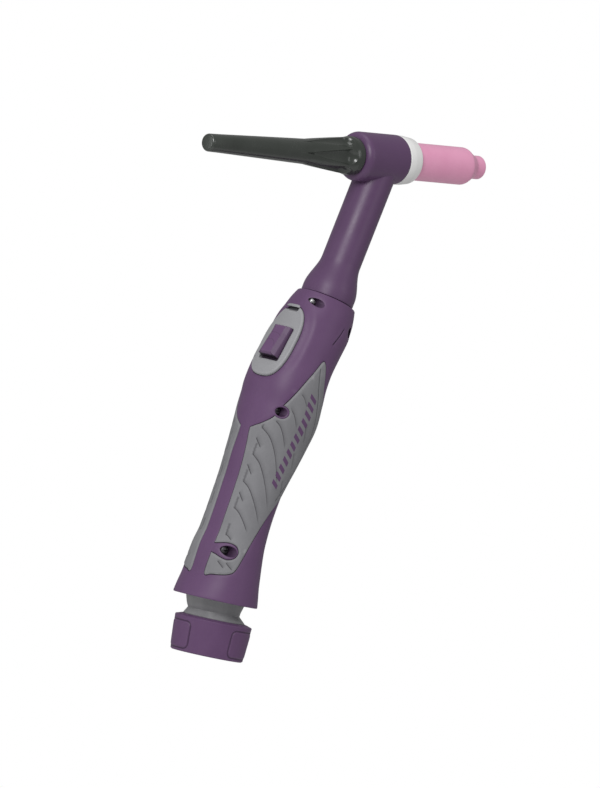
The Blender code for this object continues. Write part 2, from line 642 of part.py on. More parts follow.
cap_profile = [(0.0, CAP_TIP), (2.6, CAP_TIP + 0.25), (3.8, CAP_TIP + 1.2), (4.4, CAP_TIP + 3.0)]
cap_profile += [(4.6, -60.0), (5.0, -45.0), (5.45, -30.0), (5.85, -15.0), (6.2, -6.0)]
cap_profile += [(6.2 + 3.0 * ((h + 6.0) / 31.0) ** 0.9, h) for h in (0.0, 6.0, 12.0, 18.0, 22.0, 25.2)]
cap_profile += [(9.5, 25.4), (9.5, 27.9), (9.2, 28.1), (4.7, 28.1), (4.7, 40.0), (1.9, 40.0), (1.9, CAP_TIP + 5.0), (0.0, CAP_TIP + 4.4)]
turned("back_cap", cap_profile, 24, HEAD, BLACK, radius_at=scoop)
turned("back_cap_o_ring", [(5.8 + 0.75 * math.cos(math.radians(a)), 29.35 + 0.75 * math.sin(math.radians(a))) for a in range(0, 360, 60)],
       20, HEAD, RUBBER)
turned("collet_body", [(2.3, 44.0), (4.8, 44.0), (4.8, 60.2), (6.3, 60.5), (6.3, 76.0), (4.2, 77.5), (4.2, 99.0), (3.2, 100.5), (2.3, 100.5)],
       24, HEAD, COPPER)
turned("collet", [(1.45, 42.0), (2.0, 42.0), (2.0, 97.0), (1.45, 97.0)], 16, HEAD, COPPER)
turned("tungsten_electrode", [(0.0, ELECTRODE_START), (ELECTRODE_RADIUS, ELECTRODE_START + 0.2), (ELECTRODE_RADIUS, ELECTRODE_END - 6.5),
                              (0.15, ELECTRODE_END), (0.0, ELECTRODE_END)], 16, HEAD, TUNGSTEN)
ring = [(7.0, HEAD_FRONT + 0.3), (12.1, HEAD_FRONT + 0.3), (12.1, 60.6), (11.7, GASKET_FRONT - 2.2), (11.1, GASKET_FRONT - 0.7), (10.2, GASKET_FRONT), (7.0, GASKET_FRONT)]
turned("cup_gasket", ring, 28, HEAD, PTFE)
lip = CUP_END
outer = [(9.25, 68.0), (9.25, 104.2), (8.9, 106.1), (7.9, 108.1), (6.7, 109.9), (6.0, 111.5), (5.75, 113.0), (5.75, lip - 0.9), (5.3, lip - 0.15), (4.9, lip), (4.4, lip - 0.15), (4.0, lip - 0.8)]
inner = [(4.0, 112.5), (4.6, 110.1), (6.2, 106.1), (6.7, 103.5), (6.7, 67.7)]
turned("ceramic_cup", [(6.7, 67.7), (8.95, 67.7)] + outer + inner[:-1], 28, HEAD, CERAMIC)

# ---------------------------------------------------------------- screws
for label, x, z, depth, head in SCREW_SEATS:
    column = frame_on((x, 0.0, z), (0.0, -1.0, 0.0), (0.0, 0.0, 1.0))
    deep = depth - HEAD_SUNK - 1.8
    tail = deep - 1.1 if label == "case_screw_top" else -5.6
    turned(label, [(0.0, tail), (0.7, tail), (1.2, tail + 0.8), (1.2, deep), (head, deep), (head, deep + 1.3), (head - 0.6, deep + 1.8),
                   (1.1, deep + 1.8), (1.0, deep + 0.8), (0.0, deep + 0.8)], 16, column, STEEL)
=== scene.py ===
"""Looks of the TIG torch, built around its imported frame.

Shapes are written in millimetres with heights above the rear face of the sheath collar,
and turned into the row's metres when a mesh is made.
"""
import math

import bmesh
import bpy
import numpy as np
from mathutils import Matrix, Vector
from mathutils.geometry import delaunay_2d_cdt
from mathutils.kdtree import KDTree


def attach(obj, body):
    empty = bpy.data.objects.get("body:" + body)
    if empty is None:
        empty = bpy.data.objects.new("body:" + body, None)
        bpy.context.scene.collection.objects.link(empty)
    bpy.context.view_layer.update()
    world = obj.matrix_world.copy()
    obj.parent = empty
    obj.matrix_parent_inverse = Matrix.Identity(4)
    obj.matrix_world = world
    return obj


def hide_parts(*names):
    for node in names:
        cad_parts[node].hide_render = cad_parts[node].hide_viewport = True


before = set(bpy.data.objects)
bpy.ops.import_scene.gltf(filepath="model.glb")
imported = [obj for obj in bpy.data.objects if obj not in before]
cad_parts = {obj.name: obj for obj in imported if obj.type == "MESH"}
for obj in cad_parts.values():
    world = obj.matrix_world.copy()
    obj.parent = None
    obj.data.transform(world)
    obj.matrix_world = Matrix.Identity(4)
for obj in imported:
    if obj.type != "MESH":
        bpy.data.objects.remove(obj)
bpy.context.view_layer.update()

MM = 0.001
GRIP_HEIGHT = 85.0
RIM_HEIGHT = 27.3
BEND_HEIGHT = 100.0
SEAM_HEIGHT = 179.5
SLOPE_LOW = 0.0157
SLOPE_TOP = 0.268
WALL = 2.4
MM_PER_DEGREE = 0.33

# station: (height, forward shift, half depth, half width, roundness exponent)
HANDLE_STATIONS = (
    (27.3, 2.0, 20.9, 20.9, 2.00), (32.0, 1.8, 19.5, 20.4, 2.05), (38.0, 1.6, 17.7, 19.7, 2.10),
    (45.0, 1.7, 16.8, 18.8, 2.15), (52.0, 1.8, 16.0, 18.0, 2.15), (60.0, 1.35, 14.95, 17.0, 2.15),
    (72.0, 1.3, 14.6, 16.6, 2.15), (84.0, 1.3, 15.0, 16.5, 2.15), (100.0, 1.3, 17.2, 17.3, 2.15),
    (110.0, 1.5, 18.7, 18.1, 2.15), (120.0, 1.95, 19.6, 19.3, 2.15), (130.0, 3.6, 19.2, 19.9, 2.20),
    (140.0, 4.6, 17.7, 19.5, 2.25), (148.0, 4.1, 17.0, 19.2, 2.20), (156.0, 3.1, 17.0, 18.9, 2.20),
    (164.0, 1.9, 17.2, 18.3, 2.20), (170.0, 1.2, 16.8, 17.3, 2.15), (175.0, 0.9, 16.0, 16.4, 2.05),
    (179.8, 0.4, 14.8, 14.8, 2.00),
)

# soft grip pad outline: (height, angle from the front ridge)
PAD_OUTLINE = (
    (38.6, 15.5), (50.0, 16.8), (64.0, 17.2), (80.0, 17.4), (94.0, 15.6), (106.4, 10.6),
    (108.3, 14.0), (111.2, 27.0), (115.6, 40.0), (121.5, 47.5), (127.5, 57.5), (134.1, 67.0),
    (142.0, 77.5), (148.7, 84.0), (149.1, 88.5), (146.9, 95.0), (141.0, 105.5), (132.0, 119.5),
    (121.0, 129.0), (108.0, 133.0), (96.0, 131.0), (85.0, 121.0), (74.0, 99.0), (62.0, 82.5),
    (50.0, 70.0), (42.6, 61.0), (40.4, 52.0), (39.4, 40.0), (38.8, 27.0),
)
# purple arm around the lower screw well, which notches the pad
ARM_OUTLINE = (
    (52.6, 10.0), (53.4, 22.0), (54.4, 36.0), (54.6, 47.0), (53.6, 56.5), (51.0, 61.0), (48.2, 57.0),
    (46.6, 47.0), (46.9, 36.0), (47.8, 26.0), (49.2, 10.0),
)
# scale-like facets of the pad, each line from its top down: (height, angle) points
# relief strokes on the pads as (height, angle): an even pitch down the pad, each sweeping back and down
STROKE_PITCH, STROKE_TOP = 12.8, 109.0


def sweep(height, angle, reach, sag):
    """A stroke that drops by sag over its reach, steeper towards its far end."""
    return tuple((height - sag * t ** 1.5, angle + reach * t) for t in (0.0, 0.25, 0.5, 0.75, 1.0))


def relief_strokes():
    strokes, tops = [], []
    for k in range(5):
        height, angle, reach = STROKE_TOP - STROKE_PITCH * k, 30.0 + 0.5 * k, 60.0 - 3.0 * k * k
        strokes.append(sweep(height, angle, reach, 26.5 * (reach / 66.0) ** 1.5))
        tops.append(((height, angle), (height + 5.0, angle)))
        if k < 3:
            strokes.append(((height - 5.5, 27.0 + 2 * k), (height - 9.0, 38.0 + 2 * k)))
    for k in range(2):
        strokes.append(((45.0, 33.0 + 13 * k), (42.4, 44.0 + 13 * k)))
    for k in range(3):
        strokes.append(sweep(114.0 + 8 * k, 46.0 + 12 * k, 28.0 - 8 * k, 10.0 - 3 * k))
        strokes.append(((118.0 - 14 * k, 94.0 + 2 * k), (111.0 - 14 * k, 105.0 + 2 * k)))
    return tuple(strokes), tuple(tops)


FACETS, FACET_TOPS = relief_strokes()

BEZEL_CENTRE = 151.0
BEZEL_HALF_LENGTH = 18.6
BEZEL_HALF_ANGLE = 33.0
BEZEL_FAR_ANGLE = 39.5
BUTTON_FACE = (-0.04, 0.0, 156.16)
BUTTON_TILT = 23.8
BALL_RADIUS = 15.0
BALL_CENTRE = (-1.8, 0.0, 29.0)
SHANK_RADIUS = 14.2
CABLE_BORE = 8.5
NECK_BASE = (31.0, 0.0, 179.8)
NECK_LEAN = math.atan(0.2466)
NECK_RADIUS = 9.8
SLEEVE_RADIUS = 13.3
HEAD_HEIGHT = 248.89
HEAD_RISE = math.atan(0.0744)
HEAD_RADIUS = 12.2
HEAD_BACK = 28.4
HEAD_FRONT = 57.4
GASKET_FRONT = 67.4
CUP_END = 117.9
CAP_TIP = -74.0

# case screws driven along +Y: (name, x, height, well radius, head radius)
SCREWS = (
    ("case_screw_top", 16.1, 178.0, 2.05, 1.7),
    ("case_screw_front", 0.9, 123.0, 2.35, 2.2),
    ("case_screw_lower", -12.4, 52.0, 2.6, 2.3),
    ("case_screw_back", 37.2, 166.7, 2.6, 2.3),
    ("case_screw_belly", 24.2, 117.8, 2.6, 2.3),
)

# ---------------------------------------------------------------- camera and studio
RIGHT = Vector((0.6734, -0.7098, 0.2068))
UP = Vector((-0.1263, 0.1652, 0.9781))
BACK = Vector((-0.7285, -0.6848, 0.0216))
AIM = (RIGHT * 45.4 + UP * 126.5) * MM + Vector((0.0, 0.0, -GRIP_HEIGHT * MM))


def place_camera(distance=8.0):
    data = bpy.data.cameras.new("camera")
    data.sensor_width = 36.0
    data.lens = 94.4 * distance
    data.clip_start, data.clip_end = 0.5, 60.0
    obj = bpy.data.objects.new("camera", data)
    bpy.context.scene.collection.objects.link(obj)
    side = UP.cross(BACK).normalized()
    up = BACK.cross(side).normalized()
    m = Matrix((side, up, BACK)).transposed().to_4x4()
    m.translation = AIM + BACK * distance
    obj.matrix_world = m
    bpy.context.scene.camera = obj


def softbox(name, direction, distance, size, power, colour=(1.0, 1.0, 1.0)):
    data = bpy.data.lights.new(name, "AREA")
    data.shape = "RECTANGLE"
    data.size, data.size_y = size
    data.energy = power
    data.color = colour
    obj = bpy.data.objects.new(name, data)
    bpy.context.scene.collection.objects.link(obj)
    where = (RIGHT * direction[0] + UP * direction[1] + BACK * direction[2]).normalized()
    obj.location = AIM + where * distance
    obj.rotation_euler = where.to_track_quat("Z", "Y").to_euler()


def studio():
    world = bpy.data.worlds.new("studio")
    bpy.context.scene.world = world
    world.use_nodes = True
    tree = world.node_tree
    tree.nodes.clear()
    out = tree.nodes.new("ShaderNodeOutputWorld")
    mix = tree.nodes.new("ShaderNodeMixShader")
    path = tree.nodes.new("ShaderNodeLightPath")
    soft = tree.nodes.new("ShaderNodeBackground")
    soft.inputs["Color"].default_value = (1.0, 1.0, 1.0, 1.0)
    soft.inputs["Strength"].default_value = 0.34
    white = tree.nodes.new("ShaderNodeBackground")
    white.inputs["Color"].default_value = (1.0, 1.0, 1.0, 1.0)
    white.inputs["Strength"].default_value = 1.0
    tree.links.new(path.outputs["Is Camera Ray"], mix.inputs["Fac"])
    tree.links.new(soft.outputs["Background"], mix.inputs[1])
    tree.links.new(white.outputs["Background"], mix.inputs[2])
    tree.links.new(mix.outputs["Shader"], out.inputs["Surface"])
    softbox("key", (-0.15, 0.6, 1.0), 1.3, (0.5, 0.5), 9.8)
    softbox("fill", (-1.0, 0.25, 0.35), 1.3, (0.25, 0.7), 1.7)
    softbox("top", (0.0, 1.0, 0.15), 1.2, (0.8, 0.4), 2.8)
    softbox("rim", (1.0, 0.25, 0.5), 1.4, (0.4, 0.8), 1.8)
    scene = bpy.context.scene
    scene.view_settings.view_transform = "Standard"
    scene.view_settings.look = "None"
    scene.view_settings.exposure = 0.0
    scene.view_settings.gamma = 1.0


place_camera()
studio()


# ---------------------------------------------------------------- materials
def nodes_of(name):
    made = bpy.data.materials.new(name)
    made.use_nodes = True
    tree = made.node_tree
    return made, tree, tree.nodes["Principled BSDF"]


def math_node(tree, operation, a, b, clamp=False):
    node = tree.nodes.new("ShaderNodeMath")
    node.operation = operation
    node.use_clamp = clamp
    for k, value in enumerate((a, b)):
        if isinstance(value, (int, float)):
            node.inputs[k].default_value = value
        else:
            tree.links.new(value, node.inputs[k])
    return node.outputs[0]


def ranged(tree, value, low, high, out_low, out_high):
    node = tree.nodes.new("ShaderNodeMapRange")
    for k, x in enumerate((low, high, out_low, out_high)):
        node.inputs[k + 1].default_value = x
    tree.links.new(value, node.inputs[0])
    return node.outputs[0]


def noise(tree, coords, scale, detail=3.0, rough=0.55, stretch=None):
    if stretch:
        mapping = tree.nodes.new("ShaderNodeMapping")
        mapping.inputs["Scale"].default_value = stretch
        tree.links.new(coords, mapping.inputs["Vector"])
        coords = mapping.outputs["Vector"]
    node = tree.nodes.new("ShaderNodeTexNoise")
    node.inputs["Scale"].default_value = scale
    node.inputs["Detail"].default_value = detail
    node.inputs["Roughness"].default_value = rough
    tree.links.new(coords, node.inputs["Vector"])
    return node.outputs["Fac"]


def moulded(name, colour, other, roughness, spread=0.06, grain=2600.0, bump=0.05, specular=0.45, coat=0.0, coat_roughness=0.2,
            edges=0.10, metallic=0.0, stretch=None, with_painted_shade=True):
    """Moulded plastic, rubber, ceramic or metal: two tones that drift into each other, a fine
    surface grain, uneven polish, slightly worn edges, and painted shade that darkens creases where the mesh marks
    them."""
    made, tree, shader = nodes_of(name)
    coords = tree.nodes.new("ShaderNodeTexCoord").outputs["Object"]
    cloud = noise(tree, coords, 55.0, 4.0, 0.6, stretch)
    fine = noise(tree, coords, grain, 2.0, 0.5, stretch)
    blend = tree.nodes.new("ShaderNodeMix")
    blend.data_type = "RGBA"
    blend.inputs["A"].default_value = (*colour, 1.0)
    blend.inputs["B"].default_value = (*other, 1.0)
    tree.links.new(ranged(tree, cloud, 0.35, 0.68, 0.0, 1.0), blend.inputs["Factor"])
    result = blend.outputs["Result"]
    # worn edges are a little lighter; painted shade darkens the creases as far as the mesh marks them
    geometry = tree.nodes.new("ShaderNodeNewGeometry")
    wear = ranged(tree, geometry.outputs["Pointiness"], 0.50, 0.60, 0.0, 1.0)
    wear = math_node(tree, "MULTIPLY", wear, ranged(tree, noise(tree, coords, 420.0, 3.0), 0.3, 0.7, 0.3, 1.0))
    lighter = tree.nodes.new("ShaderNodeMix")
    lighter.data_type = "RGBA"
    lighter.blend_type = "ADD"
    lighter.inputs["B"].default_value = (edges, edges, edges, 1.0)
    tree.links.new(wear, lighter.inputs["Factor"])
    tree.links.new(result, lighter.inputs["A"])
    result = lighter.outputs["Result"]
    # painted shade: the colour is multiplied towards near black by the mesh's per-vertex shade attribute
    if with_painted_shade:
        painted_shade = tree.nodes.new("ShaderNodeAttribute")
        painted_shade.attribute_name = "painted_shade"
        darker = tree.nodes.new("ShaderNodeMix")
        darker.data_type = "RGBA"
        darker.blend_type = "MULTIPLY"
        darker.inputs["B"].default_value = (0.16, 0.15, 0.17, 1.0)
        tree.links.new(painted_shade.outputs["Fac"], darker.inputs["Factor"])
        tree.links.new(result, darker.inputs["A"])
        result = darker.outputs["Result"]
    tree.links.new(result, shader.inputs["Base Color"])
    polish = math_node(tree, "ADD", ranged(tree, cloud, 0.3, 0.7, roughness - spread, roughness + spread),
                       ranged(tree, fine, 0.3, 0.7, -0.03, 0.03), True)
    tree.links.new(polish, shader.inputs["Roughness"])
    shader.inputs["Metallic"].default_value = metallic
    shader.inputs["Specular IOR Level"].default_value = specular
    shader.inputs["Coat Weight"].default_value = coat
    shader.inputs["Coat Roughness"].default_value = coat_roughness
    node = tree.nodes.new("ShaderNodeBump")
    node.inputs["Strength"].default_value = bump
    node.inputs["Distance"].default_value = 0.0002
    tree.links.new(fine, node.inputs["Height"])
    tree.links.new(node.outputs["Normal"], shader.inputs["Normal"])
    made.diffuse_color = (*colour, 1.0)
    return made


PURPLE = moulded("nylon_purple", (0.112, 0.054, 0.131), (0.124, 0.061, 0.144), 0.50, 0.05, 2400.0, 0.10, 0.34, edges=0.030)
COVER = moulded("silicone_purple", (0.098, 0.048, 0.114), (0.108, 0.054, 0.126), 0.42, 0.05, 1500.0, 0.06, 0.38, edges=0.020)
BUTTON = moulded("button_plastic", (0.122, 0.060, 0.142), (0.136, 0.069, 0.156), 0.46, 0.05, 2600.0, 0.12, 0.42, edges=0.05)
GREY = moulded("soft_grip", (0.192, 0.191, 0.203), (0.222, 0.221, 0.234), 0.62, 0.06, 3000.0, 0.35, 0.32, edges=0.09)
BEZEL = moulded("bezel_plastic", (0.280, 0.280, 0.294), (0.305, 0.305, 0.320), 0.50, 0.05, 2600.0, 0.15, 0.42, edges=0.10)
KNUCKLE = moulded("knuckle_plastic", (0.165, 0.165, 0.173), (0.245, 0.245, 0.253), 0.36, 0.08, 900.0, 0.12, 0.5, edges=0.05,
                  stretch=(1.0, 1.0, 0.25))
PHENOLIC = moulded("phenolic", (0.026, 0.031, 0.026), (0.036, 0.042, 0.036), 0.24, 0.03, 1600.0, 0.012, 0.65, edges=0.02)
CERAMIC = moulded("alumina_pink", (0.800, 0.335, 0.520), (0.850, 0.385, 0.570), 0.36, 0.07, 1900.0, 0.20, 0.45, coat=0.15, coat_roughness=0.3, edges=0.03)
PTFE = moulded("ptfe_white", (0.800, 0.800, 0.790), (0.860, 0.860, 0.850), 0.38, 0.06, 1500.0, 0.08, 0.45, edges=0.02)
RUBBER = moulded("rubber_black", (0.016, 0.016, 0.017), (0.026, 0.026, 0.027), 0.58, 0.07, 2100.0, 0.20, 0.4, edges=0.02)
SWITCH = moulded("switch_case", (0.020, 0.020, 0.022), (0.032, 0.032, 0.035), 0.45, 0.07, 2300.0, 0.15, 0.45, edges=0.03)
BRASS = moulded("turned_brass", (0.62, 0.43, 0.18), (0.74, 0.54, 0.26), 0.30, 0.08, 1300.0, 0.15, 0.5, metallic=1.0, edges=0.05, stretch=(1.0, 1.0, 6.0))
COPPER = moulded("turned_copper", (0.62, 0.27, 0.16), (0.76, 0.38, 0.24), 0.30, 0.09, 1300.0, 0.15, 0.5, metallic=1.0, edges=0.05, stretch=(6.0, 1.0, 1.0))
STEEL = moulded("zinced_steel", (0.50, 0.50, 0.51), (0.62, 0.62, 0.63), 0.28, 0.08, 1500.0, 0.15, 0.5, metallic=1.0, edges=0.05)
# a darkened copy of the steel: painted shade for the screws sunk in their wells
SHADED_STEEL = moulded("steel_painted_shade", (0.050, 0.046, 0.054), (0.085, 0.080, 0.090), 0.42, 0.08, 1500.0, 0.15, 0.5, metallic=0.6, edges=0.03)
TUNGSTEN = moulded("ground_tungsten", (0.36, 0.36, 0.37), (0.46, 0.46, 0.47), 0.34, 0.08, 1500.0, 0.20, 0.5, metallic=1.0, edges=0.05, stretch=(8.0, 1.0, 1.0))


# ---------------------------------------------------------------- mesh helpers
def to_metres(points):
    out = np.array(points, float).reshape(-1, 3) * MM
    out[:, 2] -= GRIP_HEIGHT * MM
    return out


def make(name, points, faces, mat, body, replaced=(), smooth=32.0, painted_shade=None):
    """A piece from millimetre points that rides a body."""
    mesh = bpy.data.meshes.new(name)
    mesh.from_pydata([tuple(p) for p in to_metres(points)], [], [tuple(int(i) for i in f) for f in faces])
    mesh.validate()
    # per-vertex painted shade, read by the material to darken the colour
    if painted_shade is not None and len(painted_shade) == len(mesh.vertices):
        layer = mesh.attributes.new("painted_shade", "FLOAT", "POINT")
        layer.data.foreach_set("value", np.asarray(painted_shade, np.float32))
    mesh.materials.append(mat)
    mesh.shade_smooth()
    mesh.set_sharp_from_angle(angle=math.radians(smooth))
    obj = bpy.data.objects.new(name, mesh)
    bpy.context.scene.collection.objects.link(obj)
    return adopt(obj, body, replaced)


def adopt(obj, body, replaced=()):
    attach(obj, body)
    if replaced:
        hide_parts(*replaced)
    return obj


def frame_on(origin, along, up=(0.0, 1.0, 0.0)):
    w = Vector(along).normalized()
    u = Vector(up).cross(w).normalized()
    v = w.cross(u)
    m = Matrix((u, v, w)).transposed().to_4x4()
    m.translation = Vector(origin)
    return m


def moved(matrix, points):
    m = np.array(matrix)
    return np.asarray(points, float) @ m[:3, :3].T + m[:3, 3]


UPRIGHT = Matrix.Identity(4)
HEAD = frame_on((0.0, 0.0, HEAD_HEIGHT), (math.cos(HEAD_RISE), 0.0, math.sin(HEAD_RISE)))
NECK = frame_on(NECK_BASE, (math.sin(NECK_LEAN), 0.0, math.cos(NECK_LEAN)))
TILT = math.radians(BUTTON_TILT)
PAD_FRAME = frame_on(BUTTON_FACE, (-math.cos(TILT), 0.0, math.sin(TILT)))


def rounded(points, closed=True, steps=5):
    """Rounds the corners of a profile; each point is (x, y, corner radius)."""
    out, n = [], len(points)
    for k, (x, y, radius) in enumerate(points):
        p = Vector((x, y))
        if radius <= 0 or (not closed and k in (0, n - 1)):
            out.append((x, y))
            continue
        a, b = Vector(points[k - 1][:2]) - p, Vector(points[(k + 1) % n][:2]) - p
        la, lb = a.length, b.length
        a.normalize(), b.normalize()
        half = a.angle(b) / 2
        if half > 1.55 or half < 0.02:
            out.append((x, y))
            continue
        reach = min(radius / math.tan(half), 0.47 * la, 0.47 * lb)
        r = reach * math.tan(half)
        centre = p + (a + b).normalized() * (r / math.sin(half))
        s, e = p + a * reach - centre, p + b * reach - centre
        start = math.atan2(s.y, s.x)
        sweep = (math.atan2(e.y, e.x) - start + math.pi) % (2 * math.pi) - math.pi
        for j in range(steps + 1):
            t = start + sweep * j / steps
            out.append((centre.x + r * math.cos(t), centre.y + r * math.sin(t)))
    return out


def subdivided(profile, longest, closed=True):
    """Adds points so that no profile segment is longer than `longest`."""
    out, n = [], len(profile)
    for k in range(n if closed else n - 1):
        a, b = Vector(profile[k]), Vector(profile[(k + 1) % n])
        parts = max(1, math.ceil((b - a).length / longest))
        out += [tuple(a + (b - a) * j / parts) for j in range(parts)]
    if not closed:
        out.append(tuple(profile[-1]))
    return out


def lathe(profile, segments, shape=None, shift=None):
    """Points and faces of a turned closed profile of (radius, height). `shape` may change the
    radius array for (radius, height, angle)."""
    prof = np.array(profile, float)
    angle = 2 * math.pi * np.arange(segments) / segments
    r = np.repeat(prof[:, :1], segments, 1)
    h = np.repeat(prof[:, 1:2], segments, 1)
    a = np.repeat(angle[None, :], len(prof), 0)
    if shape:
        r = shape(r, h, a)
    dx = shift(h) if shift else 0.0
    pts = np.stack([r * np.cos(a) + dx, r * np.sin(a), h], -1).reshape(-1, 3)
    rows, faces = len(prof), []
    for i in range(rows):
        j = (i + 1) % rows
        base, nxt = i * segments, j * segments
        for k in range(segments):
            m = (k + 1) % segments
            faces.append((base + k, base + m, nxt + m, nxt + k))
    return pts, faces


def flip_outward(obj):
    bm = bmesh.new()
    bm.from_mesh(obj.data)
    bmesh.ops.recalc_face_normals(bm, faces=bm.faces)
    if bm.calc_volume(signed=True) < 0:
        bmesh.ops.reverse_faces(bm, faces=bm.faces)
    bm.to_mesh(obj.data)
    bm.free()
    return obj


def turned(name, profile, segments, where, mat, body, replaced=(), shape=None, shift=None, smooth=32.0, painted_shade_of=None):
    pts, faces = lathe(profile, segments, shape, shift)
    # painted shade per vertex, when a function for it is given
    painted_shade = None
    if painted_shade_of:
        prof = np.array(profile, float)
        angle = np.tile(2 * math.pi * np.arange(segments) / segments, len(prof))
        painted_shade = painted_shade_of(np.repeat(prof[:, 0], segments), np.repeat(prof[:, 1], segments), angle)
    obj = make(name, moved(where, pts), faces, mat, body, replaced, smooth, painted_shade)
    flip_outward(obj)
    obj.data.set_sharp_from_angle(angle=math.radians(smooth))
    return obj


# ---------------------------------------------------------------- handle surface
COLUMNS = np.array(HANDLE_STATIONS).T


def station(s, k):
    xs, ys = COLUMNS[0], COLUMNS[k]
    step = np.diff(ys) / np.diff(xs)
    tangent = np.empty(len(xs))
    tangent[0], tangent[-1] = step[0], step[-1]
    product = step[:-1] * step[1:]
    total = np.where(np.abs(step[:-1] + step[1:]) < 1e-12, 1.0, step[:-1] + step[1:])
    tangent[1:-1] = np.where(product <= 0, 0.0, 2 * product / total)
    s = np.clip(s, xs[0], xs[-1])
    i = np.clip(np.searchsorted(xs, s, side="right") - 1, 0, len(xs) - 2)
    h = xs[i + 1] - xs[i]
    t = (s - xs[i]) / h
    return ((2 * t ** 3 - 3 * t * t + 1) * ys[i] + (t ** 3 - 2 * t * t + t) * h * tangent[i]
            + (3 * t * t - 2 * t ** 3) * ys[i + 1] + (t ** 3 - t * t) * h * tangent[i + 1])


def spine(z):
    span = BEND_HEIGHT - RIM_HEIGHT
    t = np.clip(z - RIM_HEIGHT, 0.0, span)
    slope = SLOPE_LOW + (SLOPE_TOP - SLOPE_LOW) * t / span
    x = SLOPE_LOW * t + (SLOPE_TOP - SLOPE_LOW) * t * t / (2 * span)
    x = x + SLOPE_TOP * np.maximum(z - BEND_HEIGHT, 0.0) + SLOPE_LOW * np.minimum(z - RIM_HEIGHT, 0.0)
    return x, slope


def on_handle(s, degrees, w=0.0):
    """Points on the handle; arrays of station height, angle from the front ridge and offset."""
    s, degrees, w = np.broadcast_arrays(np.asarray(s, float), np.asarray(degrees, float), np.asarray(w, float))
    shift, depth, width, p = (station(s, k) for k in (1, 2, 3, 4))
    x0, slope = spine(s)
    lean = np.arctan(slope)
    c, n = np.cos(np.radians(degrees)), np.sin(np.radians(degrees))
    r = (np.abs(c / depth) ** p + np.abs(n / width) ** p) ** (-1 / p)
    gx = np.copysign(np.abs(c / depth) ** (p - 1) / depth, c)
    gy = np.copysign(np.abs(n / width) ** (p - 1) / width, n)
    g = np.hypot(gx, gy)
    a = shift + r * c + w * gx / g
    b = r * n + w * gy / g
    return np.stack([x0 - a * np.cos(lean), -b, s + a * np.sin(lean)], -1)


COARSE_S, COARSE_A = np.meshgrid(np.arange(28.0, 180.0, 1.5), np.arange(1.0, 180.0, 2.0), indexing="ij")
COARSE_P = on_handle(COARSE_S, COARSE_A)


def station_of(x, z, w=0.0):
    """(station, angle) of the right-hand surface point at (x, height)."""
    d = (COARSE_P[..., 0] - x) ** 2 + (COARSE_P[..., 2] - z) ** 2
    i = np.unravel_index(np.argmin(d), d.shape)
    s, a = float(COARSE_S[i]), float(COARSE_A[i])
    for _ in range(14):
        p, q, r = on_handle([s, s + 0.05, s], [a, a, a + 0.05], w)
        j11, j12, j21, j22 = (q[0] - p[0]) / 0.05, (r[0] - p[0]) / 0.05, (q[2] - p[2]) / 0.05, (r[2] - p[2]) / 0.05
        det = j11 * j22 - j12 * j21
        if abs(det) < 1e-9:
            break
        ex, ez = x - p[0], z - p[2]
        s += max(-2.0, min(2.0, (ex * j22 - ez * j12) / det))
        a += max(-3.0, min(3.0, (ez * j11 - ex * j21) / det))
    return s, a


SCREW_DEPTHS = {label: abs(float(on_handle(*station_of(x, z))[1])) for label, x, z, radius, head in SCREWS}


def station_at_pad_frame(u, v, w):
    """(station, angle) where the handle surface meets a line parallel to the button's stroke."""
    inverse = np.array(PAD_FRAME.inverted())
    s, a = 156.0 - u, math.degrees(math.atan2(-v, 15.0))
    for _ in range(20):
        pts = on_handle([s, s + 0.05, s], [a, a, a + 0.05], w)
        local = pts @ inverse[:3, :3].T + inverse[:3, 3]
        j = np.array([(local[1] - local[0]) / 0.05, (local[2] - local[0]) / 0.05])[:, :2].T
        e = np.array([u, v]) - local[0][:2]
        step = np.linalg.solve(j, e)
        s += float(np.clip(step[0], -3, 3))
        a += float(np.clip(step[1], -4, 4))
    return s, a


# ---------------------------------------------------------------- flat outlines and patches
def flat(points):
    """(station, angle) points in the flat layout, both in millimetres."""
    return np.array([(s, a * MM_PER_DEGREE) for s, a in points], float)


def smooth_loop(points, parts=6, tension=0.5):
    """Closed Catmull-Rom curve through an outline."""
    p = np.asarray(points, float)
    n, out = len(p), []
    for k in range(n):
        a, b, c, d = p[k - 1], p[k], p[(k + 1) % n], p[(k + 2) % n]
        for j in range(parts):
            t = j / parts
            out.append(b + tension * (c - a) * t + (2 * tension * a + (tension - 3) * b + (3 - 2 * tension) * c - tension * d) * t * t
                       + (-tension * a + (2 - tension) * b + (tension - 2) * c + tension * d) * t ** 3)
    return np.array(out)


def resampled(loop, step, closed=True):
    """Evenly spaced points along a polyline."""
    p = np.asarray(loop, float)
    if closed:
        p = np.vstack([p, p[:1]])
    lengths = np.r_[0.0, np.cumsum(np.linalg.norm(np.diff(p, axis=0), axis=1))]
    count = max(3, int(round(lengths[-1] / step)))
    at = np.linspace(0.0, lengths[-1], count + 1)
    if closed:
        at = at[:-1]
    return np.stack([np.interp(at, lengths, p[:, 0]), np.interp(at, lengths, p[:, 1])], -1)


def grow(loop, amount):
    """Moves a closed loop outward by `amount`."""
    p = np.asarray(loop, float)
    area = np.sum(p[:, 0] * np.roll(p[:, 1], -1) - np.roll(p[:, 0], -1) * p[:, 1])
    d = np.roll(p, -1, 0) - np.roll(p, 1, 0)
    d /= np.linalg.norm(d, axis=1)[:, None]
    normal = np.stack([d[:, 1], -d[:, 0]], -1) * (1.0 if area > 0 else -1.0)
    return p + normal * amount


def inside(loop, pts):
    p, q = np.asarray(loop, float), np.roll(np.asarray(loop, float), -1, 0)
    x, y = pts[:, 0][:, None], pts[:, 1][:, None]
    crosses = (p[:, 1] > y) != (q[:, 1] > y)
    at = p[:, 0] + (y - p[:, 1]) * (q[:, 0] - p[:, 0]) / np.where(q[:, 1] == p[:, 1], 1e-12, q[:, 1] - p[:, 1])
    return (np.sum(crosses & (x < at), axis=1) % 2) == 1


